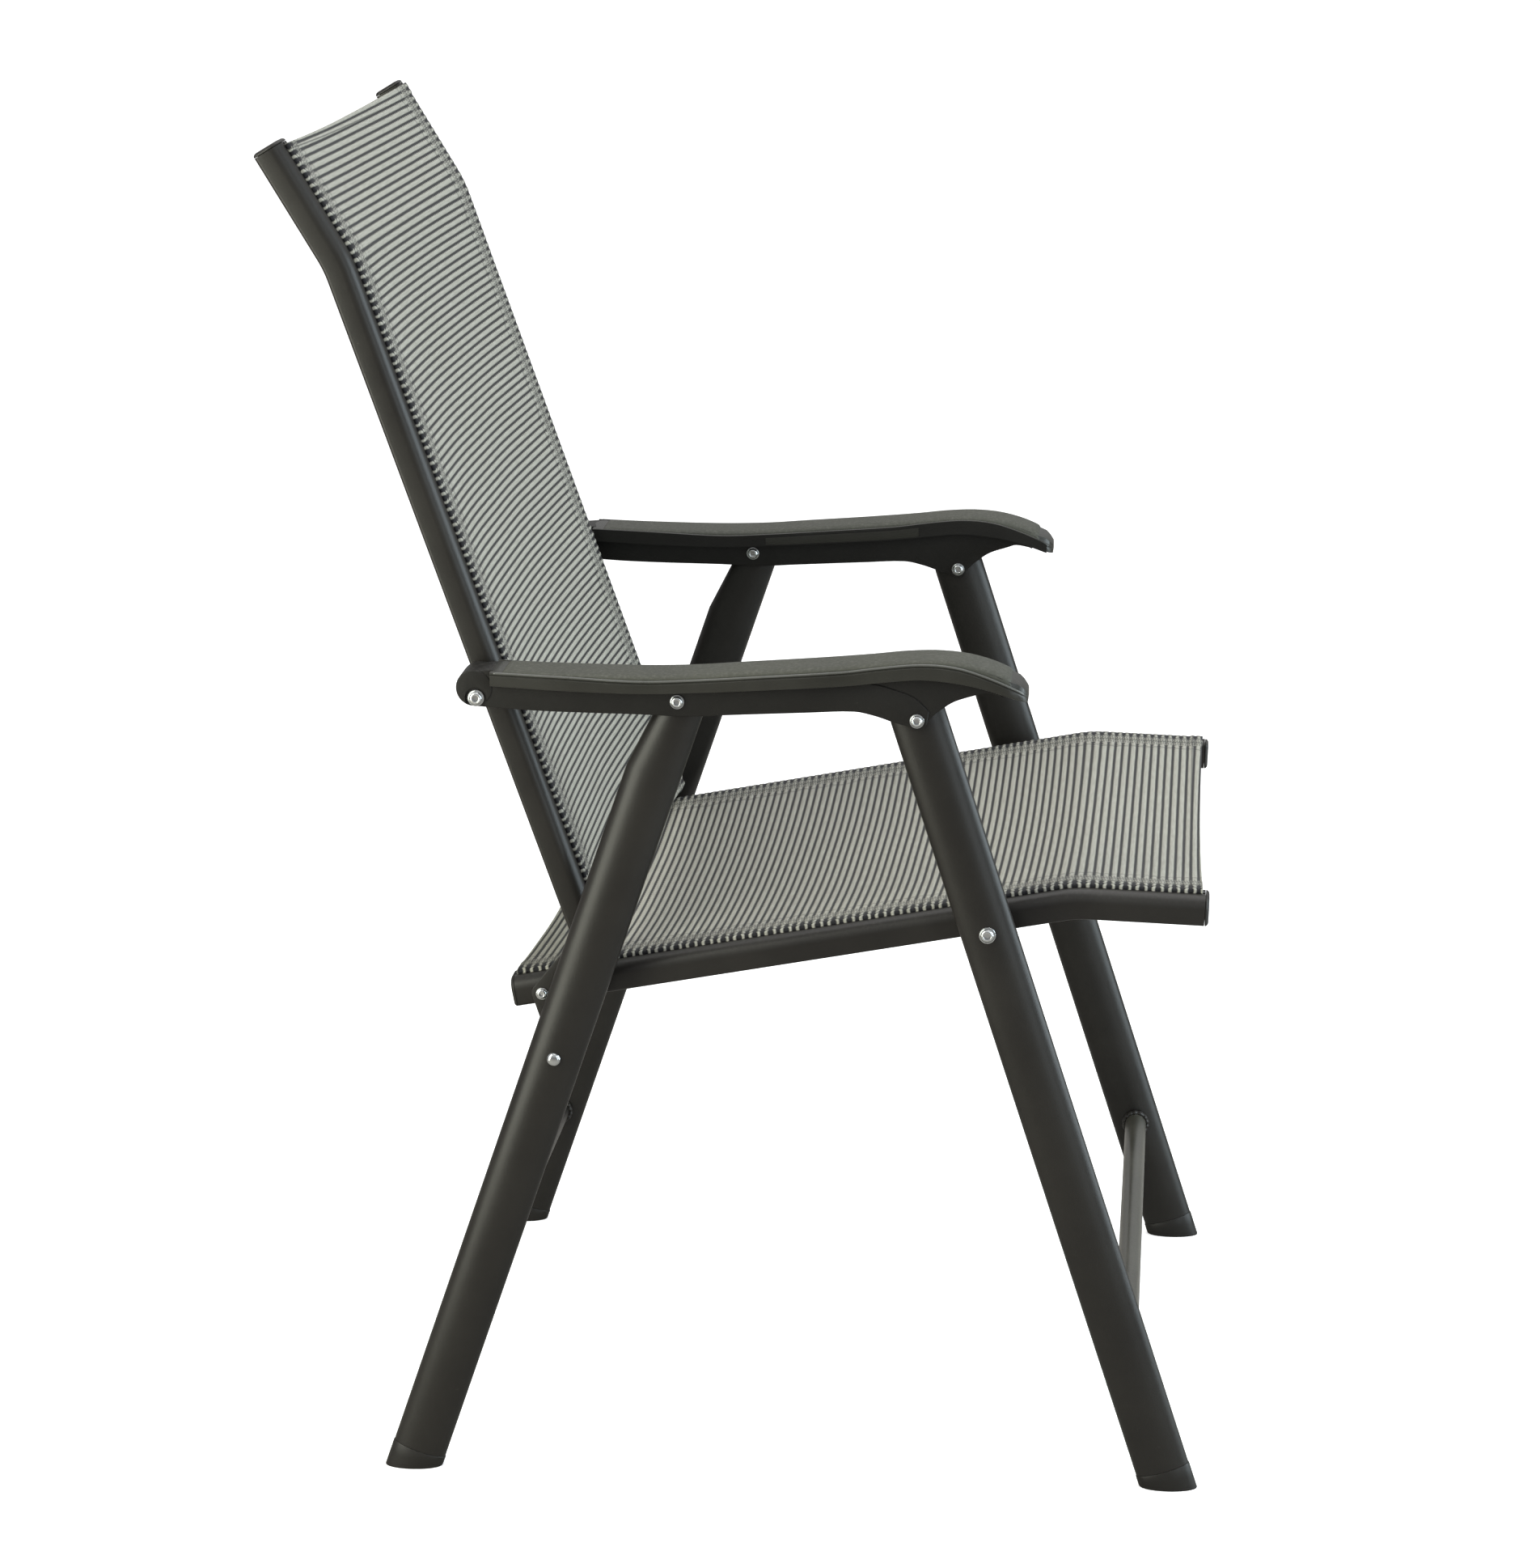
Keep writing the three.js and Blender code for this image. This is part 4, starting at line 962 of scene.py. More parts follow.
def grown(name, tree, source, values, material, smooth_angle=38):
    """The mesh that a tree makes from a source mesh, as a plain object."""
    holder = bpy.data.objects.new(name + "_source", source)
    scene.collection.objects.link(holder)
    modifier = holder.modifiers.new("grow", "NODES")
    modifier.node_group = tree
    values = {**values, "Material": material}
    for item in tree.interface.items_tree:
        if item.in_out == "INPUT" and item.name in values:
            modifier[item.identifier] = values[item.name]
    mesh = applied(holder, modifier)
    bpy.data.objects.remove(holder)
    mesh.name = name
    mesh.shade_smooth()
    mesh.set_sharp_from_angle(angle=math.radians(smooth_angle))
    obj = bpy.data.objects.new(name, mesh)
    scene.collection.objects.link(obj)
    return obj


TUBE = tube_tree()
FASTENERS = fastener_tree()
STITCHES = stitch_tree()


def line_mesh(points):
    mesh = bpy.data.meshes.new("line")
    mesh.from_pydata([tuple(p) for p in points], [(i, i + 1) for i in range(len(points) - 1)], [])
    return mesh


def point_mesh(points, attributes):
    """Loose points that carry a number or a vector under each attribute's name."""
    mesh = bpy.data.meshes.new("points")
    mesh.from_pydata([tuple(p) for p in points], [], [])
    for name, values in attributes.items():
        if isinstance(values[0], Vector):
            layer = mesh.attributes.new(name, "FLOAT_VECTOR", "POINT")
            layer.data.foreach_set("vector", [c for value in values for c in value])
        else:
            layer = mesh.attributes.new(name, "FLOAT", "POINT")
            layer.data.foreach_set("value", values)
    return mesh


def tube(name, body, points, radius, material):
    """A round tube through points, in place of its node."""
    values = {"Radius": radius * MM, "Sides": ROUND_SIDES}
    settle(grown(name + "_skin", TUBE, line_mesh(points), values, material), body, "frame_paint", name)


def crossbar(name, body, middle, heading):
    """A tube between the rails that bows away from the sling."""
    half = RAIL_INNER_FACE - FIT
    points = []
    for i in range(41):
        lateral = half * (2 * i / 40 - 1)
        bow = CROSSBAR_BOW * (1 - (lateral / half) ** 2)
        level = SLING_LEVEL + SLING_THICKNESS / 2 - CROSSBAR_UNDER_SLING - bow
        points.append(place(lateral, step(middle, heading + QUARTER, level)))
    tube(name, body, points, CROSSBAR_RADIUS, PAINT)


def weld_bead(name, body, centre, lateral):
    """Weld round a stretcher's end: a lumpy bead of overlapping pools."""
    rings = []
    around, across = 72, 12
    for i in range(around):
        turn = math.tau * i / around
        pool = abs(math.sin(turn * WELD_POOLS + 0.6 * math.sin(3 * turn)))
        radius = WELD_RADIUS * (WELD_SWELL[0] + WELD_SWELL[1] * pool)
        ring = []
        for j in range(across):
            side = math.tau * j / across
            reach = STRETCHER_RADIUS + radius * (WELD_SPREAD[0] + WELD_SPREAD[1] * math.cos(side))
            inward = min(radius * math.sin(side) + radius, 2 * radius)
            ring.append(place(lateral - math.copysign(inward, lateral), step(centre, turn, reach)))
        rings.append(ring)
    settle(mesh_object(name, *loft(rings, joined=True), PAINT, 60), body, "frame_paint")


def stretcher(name, body, top, down, material):
    """The round tube between a pair of legs, welded to both."""
    centre = step(top, down, (top.imag - STRETCHER_HEIGHT) / -math.sin(down))
    half = LEG_INNER - FIT
    tube(name, body, [place(half * (2 * i / 8 - 1), centre) for i in range(9)], STRETCHER_RADIUS, material)
    for side, sign in (("left", 1), ("right", -1)):
        weld_bead(f"{side}_{name}_weld", body, centre, sign * half)


# Hinge plates
def hull_outline(circles):
    """Tangent outline round circles of several sizes, counter-clockwise."""
    def tangent(first, second):
        tilt = math.asin((first[1] - second[1]) / abs(second[0] - first[0]))
        return heading_of(first[0], second[0]) - QUARTER + tilt

    outline = []
    for i, circle in enumerate(circles):
        arriving = tangent(circles[i - 1], circle)
        leaving = tangent(circle, circles[(i + 1) % len(circles)])
        outline += arc(circle[0], circle[1], arriving, arriving + (leaving - arriving) % math.tau, 12)
    return outline


def inset_outline(outline, amount):
    """An outline moved inwards along its corners' normals."""
    moved = []
    for i, point in enumerate(outline):
        before, after = outline[i - 1], outline[(i + 1) % len(outline)]
        way = heading_of(before, after) + QUARTER
        moved.append(step(point, way, amount))
    return moved


def slab(outline, start, end, edge, steps=3):
    """A side-view outline given a lateral thickness, with rounded edges."""
    rings = []
    for face, inward, turns in (
        (start, 1, [QUARTER * i / steps for i in range(steps + 1)]),
        (end, -1, [QUARTER * (1 - i / steps) for i in range(steps + 1)]),
    ):
        for turn in turns:
            lateral = face + inward * edge * (1 - math.cos(turn))
            rings.append([place(lateral, p) for p in inset_outline(outline, edge * (1 - math.sin(turn)))])
    return loft(rings)


def hinge_plate():
    circles = list(zip((REAR_PLATE, BACK_PLATE, SEAT_PLATE), PLATE_RADII))
    inner = RAIL_OUTER_FACE + PLATE_GAP
    return slab(hull_outline(circles), inner, inner + PLATE_THICKNESS, PLATE_EDGE)


# Slings
def sling_height(path, sag, across, along):
    """Level of the cloth's upper face over the rail's middle line."""
    share = min(abs(across) / RAIL_INNER_FACE, 1)
    level = SLING_LEVEL + SLING_THICKNESS - sag * (1 - share**2)
    from_end = min(along - SLING_END_INSET, path.length - SLING_END_INSET - along)
    end_hem = END_HEM_RISE * eased(END_HEM + END_HEM_STEP / 2 - from_end, END_HEM_STEP)
    in_hem = abs(across) - SLOT_PLACE + SIDE_HEM
    side_hem = SIDE_HEM_RISE * eased(in_hem + SIDE_HEM_STEP / 2, SIDE_HEM_STEP)
    for inset in STITCH_ROWS:
        level -= ROW_DIP * max(0, 1 - ((SLOT_PLACE - abs(across) - inset) / ROW_HALF_WIDTH) ** 2)
    turn = math.tau * ((along - WEAVE_SKEW * across) / RIB_PITCH - 0.5)
    rib = RIB_HEIGHT * (math.cos(turn) + RIB_BIAS)
    ripple = (RIPPLE * math.sin(across / RIPPLE_ACROSS + along / RIPPLE_ALONG)
              * math.sin(along / RIPPLE_SWELL + RIPPLE_START) * (1 - share**4))
    return level + end_hem + side_hem + rib + ripple


def sling_columns():
    """Places across the sling, closer together towards its edges."""
    columns = []
    for i in range(SLING_COLUMNS + 1):
        share = 2 * i / SLING_COLUMNS - 1
        crowded = math.sin(share * QUARTER * EDGE_CROWDING) / math.sin(QUARTER * EDGE_CROWDING)
        columns.append(SLOT_PLACE * crowded)
    return columns


def sling(name, body, path, sag, cloth):
    """A stretched ribbed sheet: over the rails' faces, down into their slots and hemmed all round."""
    length = path.length - 2 * SLING_END_INSET
    rows = int(length / RIB_PITCH * RIB_SAMPLES)
    columns = sling_columns()
    points, coordinates = [], []
    for r in range(rows + 1):
        along = SLING_END_INSET + length * r / rows
        fade = max(0, 1 - min(r, rows - r) / END_ROWS) * (1 if r < rows / 2 else -1)
        for column in columns:
            moved = along + END_DRAW * (1 - (column / SLOT_PLACE) ** 2) * fade
            points.append(place(column, path.over(moved, sling_height(path, sag, column, along))))
            coordinates.append((column * MM, (along - WEAVE_SKEW * column) * MM))
        level = sling_height(path, sag, SLOT_PLACE, along)
        for sign in (-1, 1):
            for down, unrolled in ((TURN_DOWN, TURN_LENGTH), (TUCK, TUCK)):
                points.append(place(sign * (SLOT_PLACE + TURN_OUT), path.over(along, level - down)))
                skewed = along - sign * WEAVE_SKEW * SLOT_PLACE
                coordinates.append((sign * (SLOT_PLACE + unrolled) * MM, skewed * MM))
    count = len(columns)
    width = count + 4
    order = [count + 1, count, *range(count), count + 2, count + 3]
    faces = []
    for r in range(rows):
        for a, b in zip(order, order[1:]):
            faces.append((r * width + a, r * width + b, (r + 1) * width + b, (r + 1) * width + a))
    mesh = bpy.data.meshes.new(name)
    mesh.from_pydata([tuple(p) for p in points], [], faces)
    layer = mesh.uv_layers.new(name="cloth")
    for loop in mesh.loops:
        layer.data[loop.index].uv = coordinates[loop.vertex_index]
    mesh.materials.append(cloth)
    obj = bpy.data.objects.new(name, mesh)
    scene.collection.objects.link(obj)
    solid = obj.modifiers.new("thickness", "SOLIDIFY")
    solid.thickness = SLING_THICKNESS * MM
    solid.offset = -1
    obj.data = applied(obj, solid)
    obj.data.shade_smooth()
    settle(obj, body, "sling_cloth", name.replace("_cloth", ""))


def stitch_template():
    """A cross of two short threads along X, with their ends turned down into the cloth."""
    points, faces = [], []
    for slant in (-1, 1):
        rings = []
        for i in range(7):
            share = 2 * i / 6 - 1
            drop = STITCH_DROP * share**4
            radius = STITCH_RADIUS * (1 - STITCH_TAPER * share**2)
            rings.append([
                Vector((share * STITCH_LENGTH / 2,
                        slant * share * STITCH_SPREAD + radius * c.real * STITCH_WIDENING,
                        radius * c.imag + STITCH_RADIUS * STITCH_LIFT - drop)) * MM
                for c in arc(0, 1, 0, math.tau, 6)[:-1]
            ])
        thread, sides = loft(rings)
        faces += [tuple(i + len(points) for i in side) for side in sides]
        points += thread
    return mesh_object("stitch_template", points, faces, THREAD)


def stitch_rows(body, path, sag, template):
    """Rows of stitches along both side hems of a sling, one stitch over each rib."""
    made = []
    ribs = int((path.length - 2 * SLING_END_INSET) / RIB_PITCH) - 1
    for side, sign in (("left", 1), ("right", -1)):
        for number, inset in enumerate(STITCH_ROWS):
            across = sign * (SLOT_PLACE - inset)
            points, ups, headings = [], [], []
            for i in range(1, ribs):
                along = (i + 0.5) * RIB_PITCH + WEAVE_SKEW * across
                heading = path.at(along)[1]
                points.append(place(across, path.over(along, sling_height(path, sag, across, along))))
                ups.append(place(0, cmath.rect(1, heading + QUARTER)).normalized())
                headings.append(place(0, cmath.rect(1, heading)).normalized())
            cloud = point_mesh(points, {"up": ups, "along": headings})
            row_name = f"{side}_{body}_stitches_{number + 1}"
            row = grown(row_name, STITCHES, cloud, {"Template": template}, THREAD)
            made.append(settle(row, body, "sling_cloth"))
    return made


# Armrests
def on_arm(ahead, up):
    return BACK_ARM + complex(ahead, up)


def arm_run(start, end):
    """Places along the armrest: a few millimetres apart, and closer together towards both ends."""
    count = int((end - start) / ARM_COARSE_STEP)
    inner = [start + (end - start) * i / count for i in range(1, count)]
    ends = (0, 0.35, 1, 2, 3.5)
    return sorted([start + gap for gap in ends] + inner + [end - gap for gap in ends])


def arm_loft(stations, half_ring):
    """A body along the armrest: half_ring gives (sideways, up) pairs from its underside to its middle."""
    rings = []
    for ahead in stations:
        half = half_ring(ahead)
        ring = half + [(-x, y) for x, y in reversed(half)]
        rings.append([place(LEG_CENTRE + x, on_arm(ahead, y)) for x, y in ring])
    return loft(rings)


def arm_lines(ahead):
    """Half width, flange, bead and crown of the armrest at a place along it."""
    width = ARM_HALF_WIDTH * interpolated(WIDTH_SHARE, ahead)
    return width, interpolated(FLANGE, ahead), interpolated(BEAD, ahead), interpolated(CROWN, ahead)


def cover_ring(ahead):
    """Lip with a rounded foot, the groove and bead over it, and the seat of the pad."""
    width, flange, bead, crown = arm_lines(ahead)
    under_pad = PAD_HEIGHT * eased(ahead - PAD_REAR + 2, 2) * eased(PAD_FRONT + 2 - ahead, 2)
    top = max(crown, bead + 0.3) - under_pad
    shoulder = max(bead - 0.5, top - 0.9)
    ring = [(width - x, flange + y) for x, y in COVER_FOOT] + [(width, (flange + bead) / 2)]
    ring += [(width - x, bead - y) for x, y in COVER_LIP]
    ring += [(width - COVER_SHOULDER, shoulder - 0.3), (width * 0.8, shoulder)]
    return ring + [(width * 0.55, top - 0.25), (width * 0.25, top)]


def pad_ring(ahead):
    """The pad on the cover: a rounded shoulder from the groove beside the bead up to the crown."""
    width, _, bead, crown = arm_lines(ahead)
    nearest = min(ahead - PAD_REAR, PAD_FRONT - ahead)
    share = math.sqrt(max(1 - (1 - min(nearest / PAD_END_ROUNDING, 1)) ** 2, 0.02))
    foot_level = bead - 1.2
    top = foot_level + (max(crown, bead + 0.5) - foot_level) * share
    edge = width - PAD_INSET - 1.2 * (1 - share)
    ring = [(edge - 1.5, foot_level), (edge - 0.3, foot_level), (edge, foot_level + 0.3)]
    for i in range(1, 9):
        turn = QUARTER * i / 8
        rise = (top - foot_level - 0.4) * math.sin(turn) ** 0.8
        ring.append((edge - PAD_SHOULDER_SHARE * width * (1 - math.cos(turn)), foot_level + 0.3 + rise))
    return ring + [(width * 0.4, top), (width * 0.15, top + 0.05)]


def inner_lip():
    """The plain face of the armrest over the lip on the inner side."""
    run = arm_run(*LIP_RUN)
    upper = [on_arm(ahead, arm_lines(ahead)[2] - LIP_UNDER_BEAD) for ahead in run]
    lower = [on_arm(ahead, arm_lines(ahead)[1] + LIP_OVER_FLANGE) for ahead in reversed(run)]
    inner = LEG_CENTRE - ARM_HALF_WIDTH
    return slab(upper + lower, inner - LIP_FACE_PROUD, inner + LIP_FACE_DEPTH, LIP_FACE_EDGE, 2)


def bead_shape():
    """The bead along the outer edge of the cover, from the lip's square start round to the nose; its lighter
    colour is a painted highlight.
    """
    start, end = BEAD_RUN
    rings = []
    for ahead in arm_run(start, end):
        width, _, bead, _ = arm_lines(ahead)
        radius = BEAD_RADIUS * (BEAD_END_SHARE if ahead < start + 1 or ahead > end - 1 else 1)
        section = arc(complex(width - 0.75, bead - 0.8), radius, 0, math.tau, 12)[:-1]
        rings.append([place(LEG_CENTRE + c.real, on_arm(ahead, c.imag)) for c in section])
    return loft(rings)


def cavity_ring(ahead):
    """The hollow under the cover."""
    width, flange, bead, crown = arm_lines(ahead)
    roof = min(crown, bead + 2) - ARM_ROOF
    return [(width - ARM_LIP, flange - ARM_LIP), (width - ARM_LIP, roof - 1.5), (width * 0.7, roof)]


def smooth_run(table):
    """A table's outline with eased points between its entries."""
    places = sorted(key for key, _ in table)
    fine = [a + (b - a) * i / 4 for a, b in zip(places, places[1:]) for i in range(4)] + places[-1:]
    run = [on_arm(ahead, interpolated(sorted(table), ahead)) for ahead in fine]
    return run if table[0][0] < table[-1][0] else run[::-1]


def under_crown(places, drop):
    return [on_arm(ahead, interpolated(CROWN, ahead) - drop) for ahead in places]


def arm_tail(radius, start, end, steps):
    return arc(BACK_ARM + ARM_TAIL_PLACE, radius, start, end, steps)


def arm_wrap():
    return arc(FRONT_ARM, ARM_WRAP_RADIUS, *map(math.radians, ARM_WRAP_ARC), 16)


def boolean(target, operation, *others):
    """Joins or cuts a mesh object with others, which are used up."""
    for other in others:
        modifier = target.modifiers.new("cut", "BOOLEAN")
        modifier.operation = operation
        modifier.solver = "EXACT"
        modifier.object = other
        target.data = applied(target, modifier)
        bpy.data.objects.remove(other)
    return target


def armrest_shape():
    """Side walls with the raised outer panel that ends in a ridge, and the cover with its lip."""
    def piece(name, shape, material=MOULDED):
        return mesh_object(f"armrest_{name}", *shape, material)

    cover = piece("cover", arm_loft(arm_run(*COVER_RUN), cover_ring), COVER)
    cavity = piece("cavity", arm_loft(arm_run(*CAVITY_RUN), cavity_ring))
    lower = arm_tail(ARM_TAIL_RADIUS, QUARTER, 3 * QUARTER, 24) + smooth_run(WALL_REAR) + arm_wrap()
    upper = under_crown(WALL_TOPS, ARM_TOP_INSET) + under_crown(WALL_TAIL_TOPS, 0)
    outline = lower + smooth_run(WALL_FRONT) + upper
    walls = piece("walls", slab(outline, ARM_INNER_FACE, ARM_GUSSET_FACE, ARM_EDGE))
    upper = under_crown([a for a in WALL_TOPS if a < 260], ARM_TOP_INSET) + under_crown(WALL_TAIL_TOPS, 0)
    outline = lower + smooth_run(RIDGE) + upper
    panel = piece("panel", slab(outline, ARM_GUSSET_FACE - ARM_OVERLAP, ARM_PANEL_FACE, ARM_PANEL_EDGE, 4))
    rim = arm_tail(ARM_TAIL_RADIUS - ARM_BOSS_INSET, 0, math.tau, 48)[:-1]
    boss_face = ARM_PANEL_FACE + ARM_BOSS_PROUD
    boss = piece("boss", slab(rim, ARM_PANEL_FACE - ARM_OVERLAP, boss_face, ARM_EDGE, 4))
    inner = ARM_TAIL_RADIUS - ARM_WALL
    rear = (BACK_ARM + ARM_TAIL_PLACE).real - inner
    ahead = FRONT_ARM.real + LEG_DEPTH / 2 + ARM_FRONT_CLEAR
    bottom = BACK_ARM.imag - ARM_BOTTOM
    roof = under_crown([a for a in WALL_TOPS if a < 325], ARM_ROOF)
    outline = [complex(rear, bottom), complex(ahead, bottom), complex(ahead, roof[0].imag)] + roof
    outline += arm_tail(inner, QUARTER, math.radians(200), 10)
    channel = piece("channel", slab(outline, LEG_CENTRE - CHANNEL_HALF, LEG_CENTRE + CHANNEL_HALF, 0.01, 1))
    circle = arc(BACK_ARM, ARM_RECESS_RADIUS, 0, math.tau, 48)[:-1]
    depths = (ARM_PANEL_FACE - ARM_RECESS_DEPTH, ARM_PANEL_FACE + 3)
    recess = piece("recess", loft([[place(x, p) for p in circle] for x in depths]))
    whole = boolean(walls, "UNION", panel, boss)
    return boolean(whole, "DIFFERENCE", channel, recess), boolean(cover, "DIFFERENCE", cavity)


def build_armrests():
    for part, left, material in zip(("armrest_skin", "arm_cover"), armrest_shape(), (MOULDED, COVER)):
        mirrored = left.data.copy()
        for vertex in mirrored.vertices:
            vertex.co.x = -vertex.co.x
        mirrored.flip_normals()
        right = bpy.data.objects.new(f"right_{part}", mirrored)
        scene.collection.objects.link(right)
        left.name = f"left_{part}"
        for side, obj in (("left", left), ("right", right)):
            obj.data.shade_smooth()
            obj.data.set_sharp_from_angle(angle=math.radians(32))
            obj.data.materials.clear()
            obj.data.materials.append(material)
            settle(obj, "arms", "arm_plastic", *([f"{side}_armrest"] if part == "armrest_skin" else []))
    pad = arm_loft(arm_run(PAD_REAR, PAD_FRONT), pad_ring)
    for part, (points, faces), material, smooth_angle in (
        ("pad", pad, PAD, 50), ("bead", bead_shape(), BEAD_PAINTED_HIGHLIGHT, 50), ("inner_lip", inner_lip(), MOULDED, 15),
    ):
        for side, placed in (("left", points), ("right", other_side(points))):
            obj = mesh_object(f"{side}_arm_{part}", placed, faces, material, smooth_angle)
            settle(obj, "arms", "arm_plastic")


# Fasteners
def turned_rings(profile, sides):
    """Rings about the X axis from (radius, height) pairs."""
    turns = [math.tau * i / sides for i in range(sides)]
    return [[Vector((x, r * math.cos(turn), r * math.sin(turn))) for turn in turns] for r, x in profile]


def bolt_template():
    """Button head with a wide flange and a hexagonal socket, of radius one, pointing along +X."""
    sides = ROUND_SIDES - ROUND_SIDES % 6 + 6
    rings = turned_rings(BOLT_PROFILE, sides)
    for level in SOCKET_LEVELS:
        ring = []
        for i in range(sides):
            turn = math.tau * i / sides
            radius = SOCKET_RADIUS / math.cos((turn % (math.tau / 6)) - math.tau / 12)
            ring.append(Vector((level, radius * math.cos(turn), radius * math.sin(turn))))
        rings.append(ring)
    return mesh_object("bolt_template", *loft(rings), ZINC, 30)


def rivet_template():
    return mesh_object("rivet_template", *loft(turned_rings(RIVET_PROFILE, ROUND_SIDES)), ZINC, 40)


def fasteners(name, body, template, places, inward=False):
    """Copies of a template as one piece: places are (pivot, face, radius, spin, node) for both sides."""
    points, turns, sizes, spins, nodes = [], [], [], [], []
    for centre, face, radius, spin, node in places:
        for side, sign in (("left", 1), ("right", -1)):
            points.append(place(sign * (face + (-FIT if inward else FIT)), centre))
            turns.append(0.0 if (sign > 0) != inward else math.pi)
            sizes.append(radius * MM)
            spins.append(spin + (SIDE_SPIN if sign > 0 else 0))
            nodes.append(f"{side}_{node}")
    cloud = point_mesh(points, {"turn": turns, "size": sizes, "spin": spins})
    settle(grown(name, FASTENERS, cloud, {"Template": template}, ZINC, 30), body, "zinc", *nodes)


# The chair
def build_legs():
    pair("front_leg", "front_legs", "frame_paint", front_leg(), PAINT)
    pair("rear_leg", "rear_legs", "frame_paint", rear_leg(), PAINT)
    pair("front_foot", "front_legs", "cap_plastic", foot(FRONT_ARM, FRONT_DOWN), CAPS)
    pair("rear_foot", "rear_legs", "cap_plastic", foot(REAR_ARM, REAR_DOWN), CAPS)
    stretcher("front_stretcher", "front_legs", FRONT_ARM, FRONT_DOWN, STRETCHER_PAINTED_LIGHT)
    stretcher("rear_stretcher", "rear_legs", REAR_ARM, REAR_DOWN, PAINT)


def build_rails():
    pair("back_rail", "back", "frame_paint", swept(rail_section(), BACK_PATH), PAINT)
    pair("seat_rail", "seat", "frame_paint", swept(rail_section(), SEAT_PATH), PAINT)
    pair("back_top_plug", "back", "cap_plastic", plug(BACK_PATH, False, PLUG_DOME, True), CAPS)
    pair("back_bottom_plug", "back", "cap_plastic", plug(BACK_PATH, True, PLUG_PLATE, False), CAPS)
    pair("seat_rear_plug", "seat", "cap_plastic", plug(SEAT_PATH, False, PLUG_DOME, True), CAPS)
    pair("seat_front_plug", "seat", "cap_plastic", plug(SEAT_PATH, True, PLUG_DOME, True), CAPS)
    pair("hinge_plate", "hinge_plates", "frame_paint", hinge_plate(), PAINT)


def build_crossbars():
    upper = BACK_UP + math.radians(BACK_BEND)
    for name, body, corner, heading, distance, facing in (
        ("back_lower_crossbar", "back", BACK_BOTTOM, BACK_UP, BACK_BAR_FROM_BOTTOM, math.pi),
        ("back_upper_crossbar", "back", BACK_CORNER, upper, BACK_BAR_FROM_BEND, math.pi),
        ("seat_rear_crossbar", "seat", SEAT_REAR, SEAT_AHEAD, SEAT_BAR_FROM_REAR, 0),
        ("seat_front_crossbar", "seat", SEAT_CORNER, SEAT_AHEAD, -SEAT_BAR_FROM_BEND, 0),
    ):
        crossbar(name, body, step(corner, heading, distance), heading + facing)


def build_slings():
    template = stitch_template()
    for body, path, sag, seam_place, seam_slope in (
        ("back", BACK_PATH, BACK_SAG, BACK_SEAM_INSET, BACK_SEAM_SLOPE),
        ("seat", SEAT_PATH, SEAT_SAG, SEAT_PATH.length - SEAT_SEAM_INSET, 0),
    ):
        rows = stitch_rows(body, path, sag, template)
        cloth = cloth_material(f"{body}_sling_yarn", seam_place, seam_slope)
        sling(f"{body}_sling_cloth", body, path, sag, cloth)
    bpy.data.objects.remove(template)


def build_fasteners():
    bolt, rivet = bolt_template(), rivet_template()
    plate_face = RAIL_OUTER_FACE + PLATE_GAP + PLATE_THICKNESS
    fasteners("arm_bolts", "arms", bolt, [
        (BACK_ARM, ARM_PANEL_FACE - ARM_RECESS_DEPTH, HEAD_RADIUS, 0.3, "back_arm_bolt"),
        (REAR_ARM, ARM_PANEL_FACE, ARM_HEAD_RADIUS, 0.9, "rear_arm_bolt"),
        (FRONT_ARM, ARM_PANEL_FACE, ARM_HEAD_RADIUS, 0.1, "front_arm_bolt"),
    ])
    fasteners("arm_nuts", "arms", bolt, [
        (REAR_ARM, ARM_INNER_FACE, ARM_NUT_RADIUS, 0.4, "rear_arm_nut"),
        (FRONT_ARM, ARM_INNER_FACE, ARM_NUT_RADIUS, 0.8, "front_arm_nut"),
    ], inward=True)
    for node, body, template, *where in (
        ("seat_leg_bolt", "front_legs", bolt, FRONT_SEAT, LEG_OUTER, HEAD_RADIUS, 0.5),
        ("seat_plate_bolt", "seat", bolt, SEAT_PLATE, plate_face, PLATE_HEAD_RADIUS, 0.2),
        ("back_plate_bolt", "back", bolt, BACK_PLATE, plate_face, PLATE_HEAD_RADIUS, 0.7),
        ("plate_rivet", "rear_legs", rivet, REAR_PLATE, LEG_OUTER, RIVET_RADIUS, 0),
    ):
        fasteners(node + "s", body, template, [(*where, node)])
    bpy.data.objects.remove(bolt)
    bpy.data.objects.remove(rivet)


def dress_nodes():
    """Spacers and cap nuts keep their solids and get their finish."""
    for name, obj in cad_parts.items():
        finish = CAPS if "spacer" in name else NUT_ZINC if name.endswith("_nut") else None
        if finish:
            obj.data.materials.clear()
            obj.data.materials.append(finish)


# Stage
def area_light(name, location, target, width, height, power, colour):
    light = bpy.data.lights.new(name, "AREA")
    light.shape = "RECTANGLE"
    light.size = width
    light.size_y = height
    light.energy = power
    light.color = colour
    obj = bpy.data.objects.new(name, light)
    obj.location = location
    obj.rotation_euler = (Vector(target) - Vector(location)).to_track_quat("-Z", "Y").to_euler()
    scene.collection.objects.link(obj)


def strip(name, azimuth, distance, width, height, power, colour):
    """Upright softbox on the camera's side: a positive azimuth lies to the chair's rear."""
    turn = math.radians(azimuth)
    spot = Vector((-math.cos(turn) * distance, math.sin(turn) * distance, height / 2 + 0.05))
    area_light(name, spot, (0, 0, spot.z), width, height, power, colour)


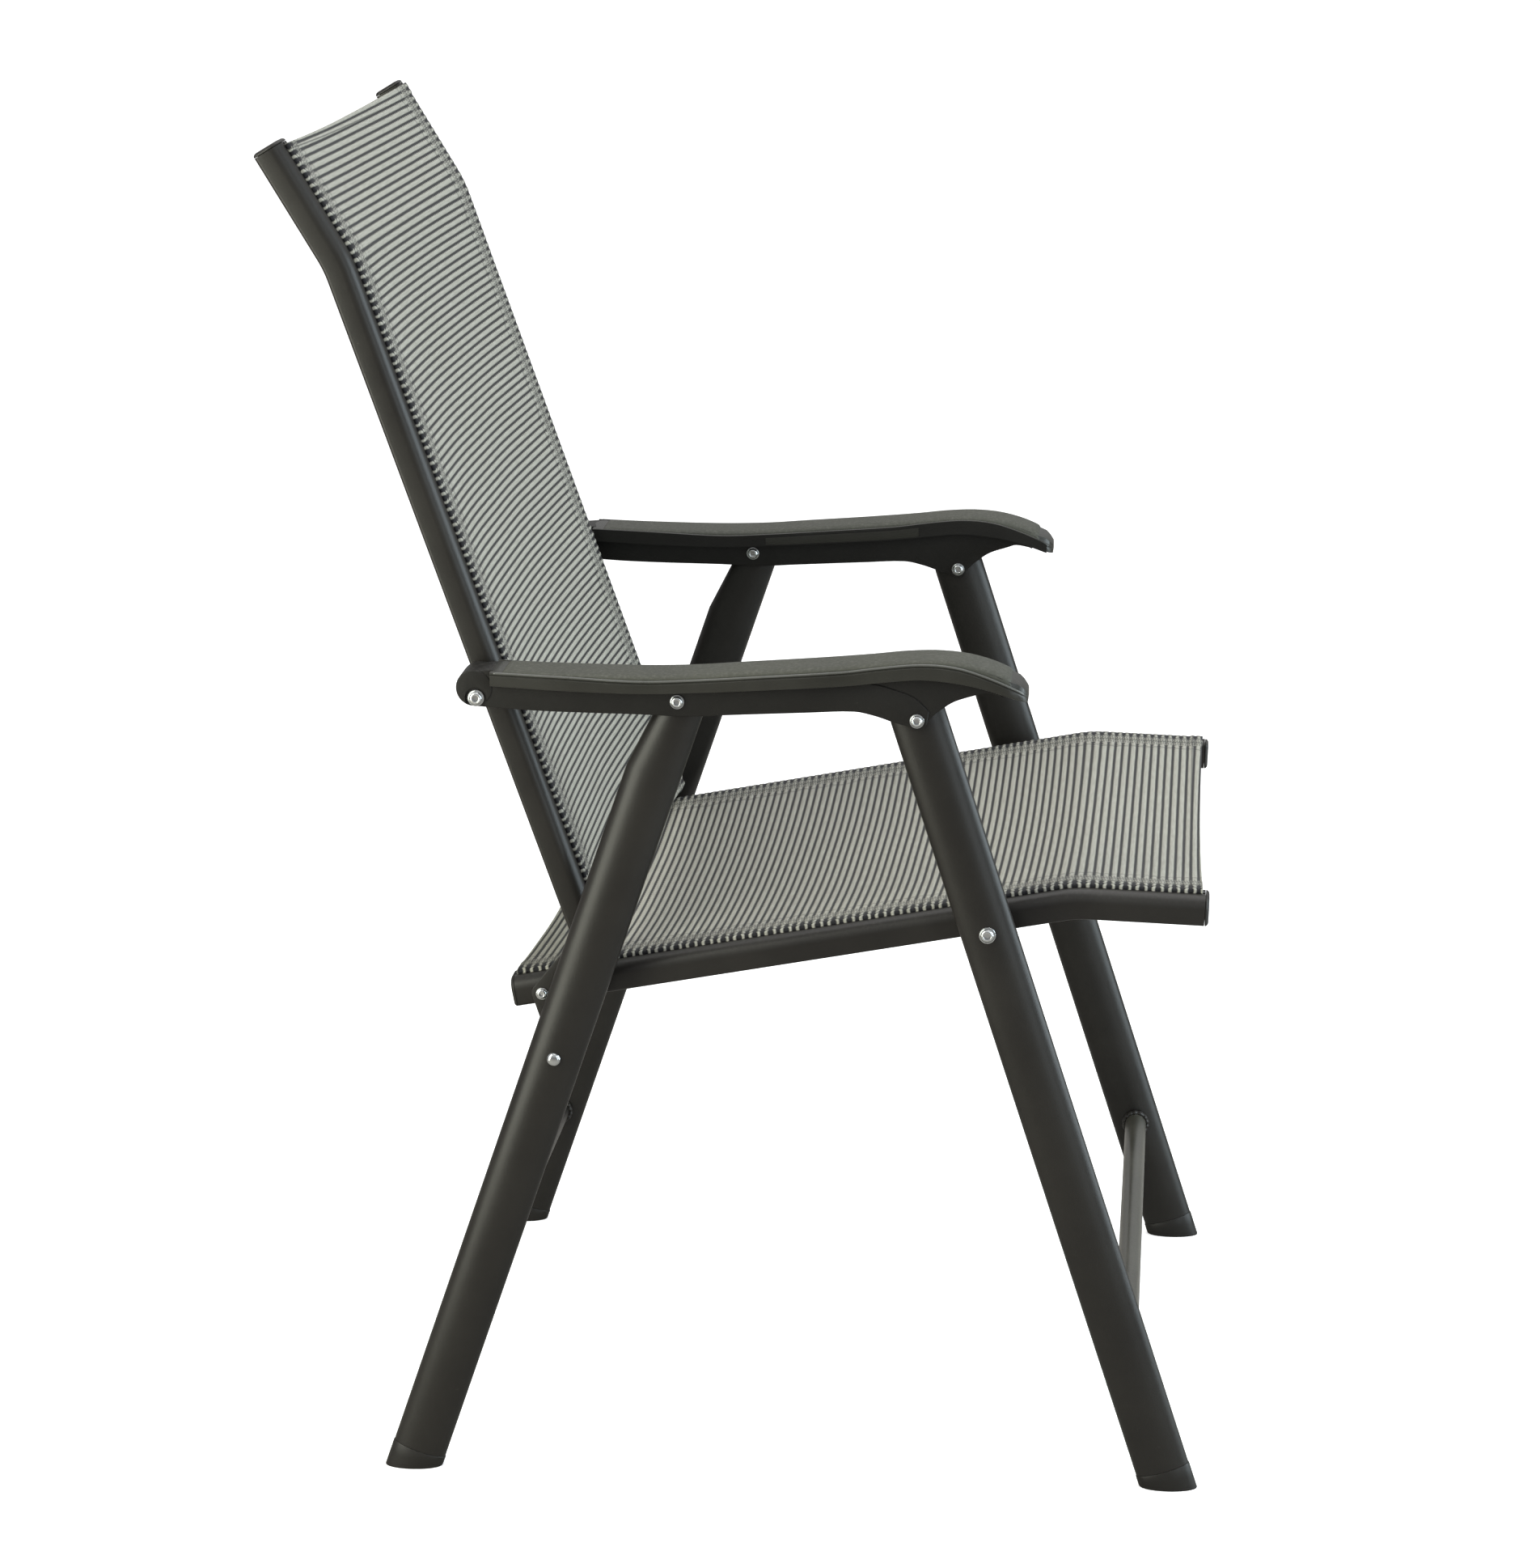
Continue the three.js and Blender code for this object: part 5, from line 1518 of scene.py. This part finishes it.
def floor_material():
    """Pale to the camera and darker to the light that it throws back at the chair."""
    material, tree, shader = new_material("studio_floor", specular=0.0)
    cloud = noise(tree, object_place(tree), 0.7, 2.0)
    shown = mixed(tree, cloud, (0.86, 0.86, 0.86), (0.87, 0.87, 0.87))
    seen = add_node(tree, "ShaderNodeLightPath").outputs["Is Camera Ray"]
    colour = mixed(tree, seen, (0.38, 0.36, 0.335), shown)
    feed(tree, shader, Base_Color=colour, Roughness=1.0, Emission_Color=(1, 1, 1, 1),
         Emission_Strength=times(tree, seen, 0.48))
    return material


def build_stage():
    reach = 60
    corners = [(-reach, -reach, 0), (reach, -reach, 0), (reach, reach, 0), (-reach, reach, 0)]
    mesh_object("studio_floor", corners, [(0, 1, 2, 3)], floor_material())
    scene.world = bpy.data.worlds.new("studio")
    scene.world.use_nodes = True
    tree = scene.world.node_tree
    path = add_node(tree, "ShaderNodeLightPath")
    seen = larger(tree, path.outputs["Is Camera Ray"], path.outputs["Is Transmission Ray"])
    way = add_node(tree, "ShaderNodeTexCoord").outputs["Generated"]
    height = add_node(tree, "ShaderNodeSeparateXYZ", Vector=way).outputs["Z"]
    studio = ranged(tree, height, -0.1, 0.8, 0.32, 0.95, smooth=True)
    strength = ranged(tree, seen, 0.0, 1.0, studio, 1.0)
    feed(tree, tree.nodes["Background"], Strength=strength, Color=(1, 1, 1, 1))
    area_light("overhead", (0.3, -0.2, 3.2), (0, 0, 0.5), 2.4, 2.4, 36, (1.0, 0.99, 0.98))
    strip("rear_strip", azimuth=42, distance=1.5, width=0.6, height=2.0, power=27, colour=(0.99, 1.0, 0.86))
    strip("front_strip", azimuth=-36, distance=2.0, width=0.45, height=1.8, power=8, colour=(0.84, 0.94, 1.0))
    strip("front_panel", azimuth=-84, distance=1.9, width=1.3, height=1.8, power=46, colour=(0.80, 0.93, 1.0))


def build_camera():
    camera = bpy.data.cameras.new("photo_camera")
    camera.lens = CAMERA_LENS
    camera.sensor_width = 36
    camera.clip_end = 200
    obj = bpy.data.objects.new("photo_camera", camera)
    ahead = Vector(CAMERA_AHEAD).normalized()
    up = Vector(CAMERA_UP)
    right = ahead.cross(up).normalized()
    up = right.cross(ahead)
    obj.matrix_world = Matrix((right, up, -ahead)).transposed().to_4x4()
    obj.location = CAMERA_PLACE
    scene.collection.objects.link(obj)
    scene.camera = obj


build_camera()
build_rails()
build_legs()
build_crossbars()
build_slings()
build_armrests()
build_fasteners()
dress_nodes()
build_stage()
scene.view_settings.view_transform = "Standard"
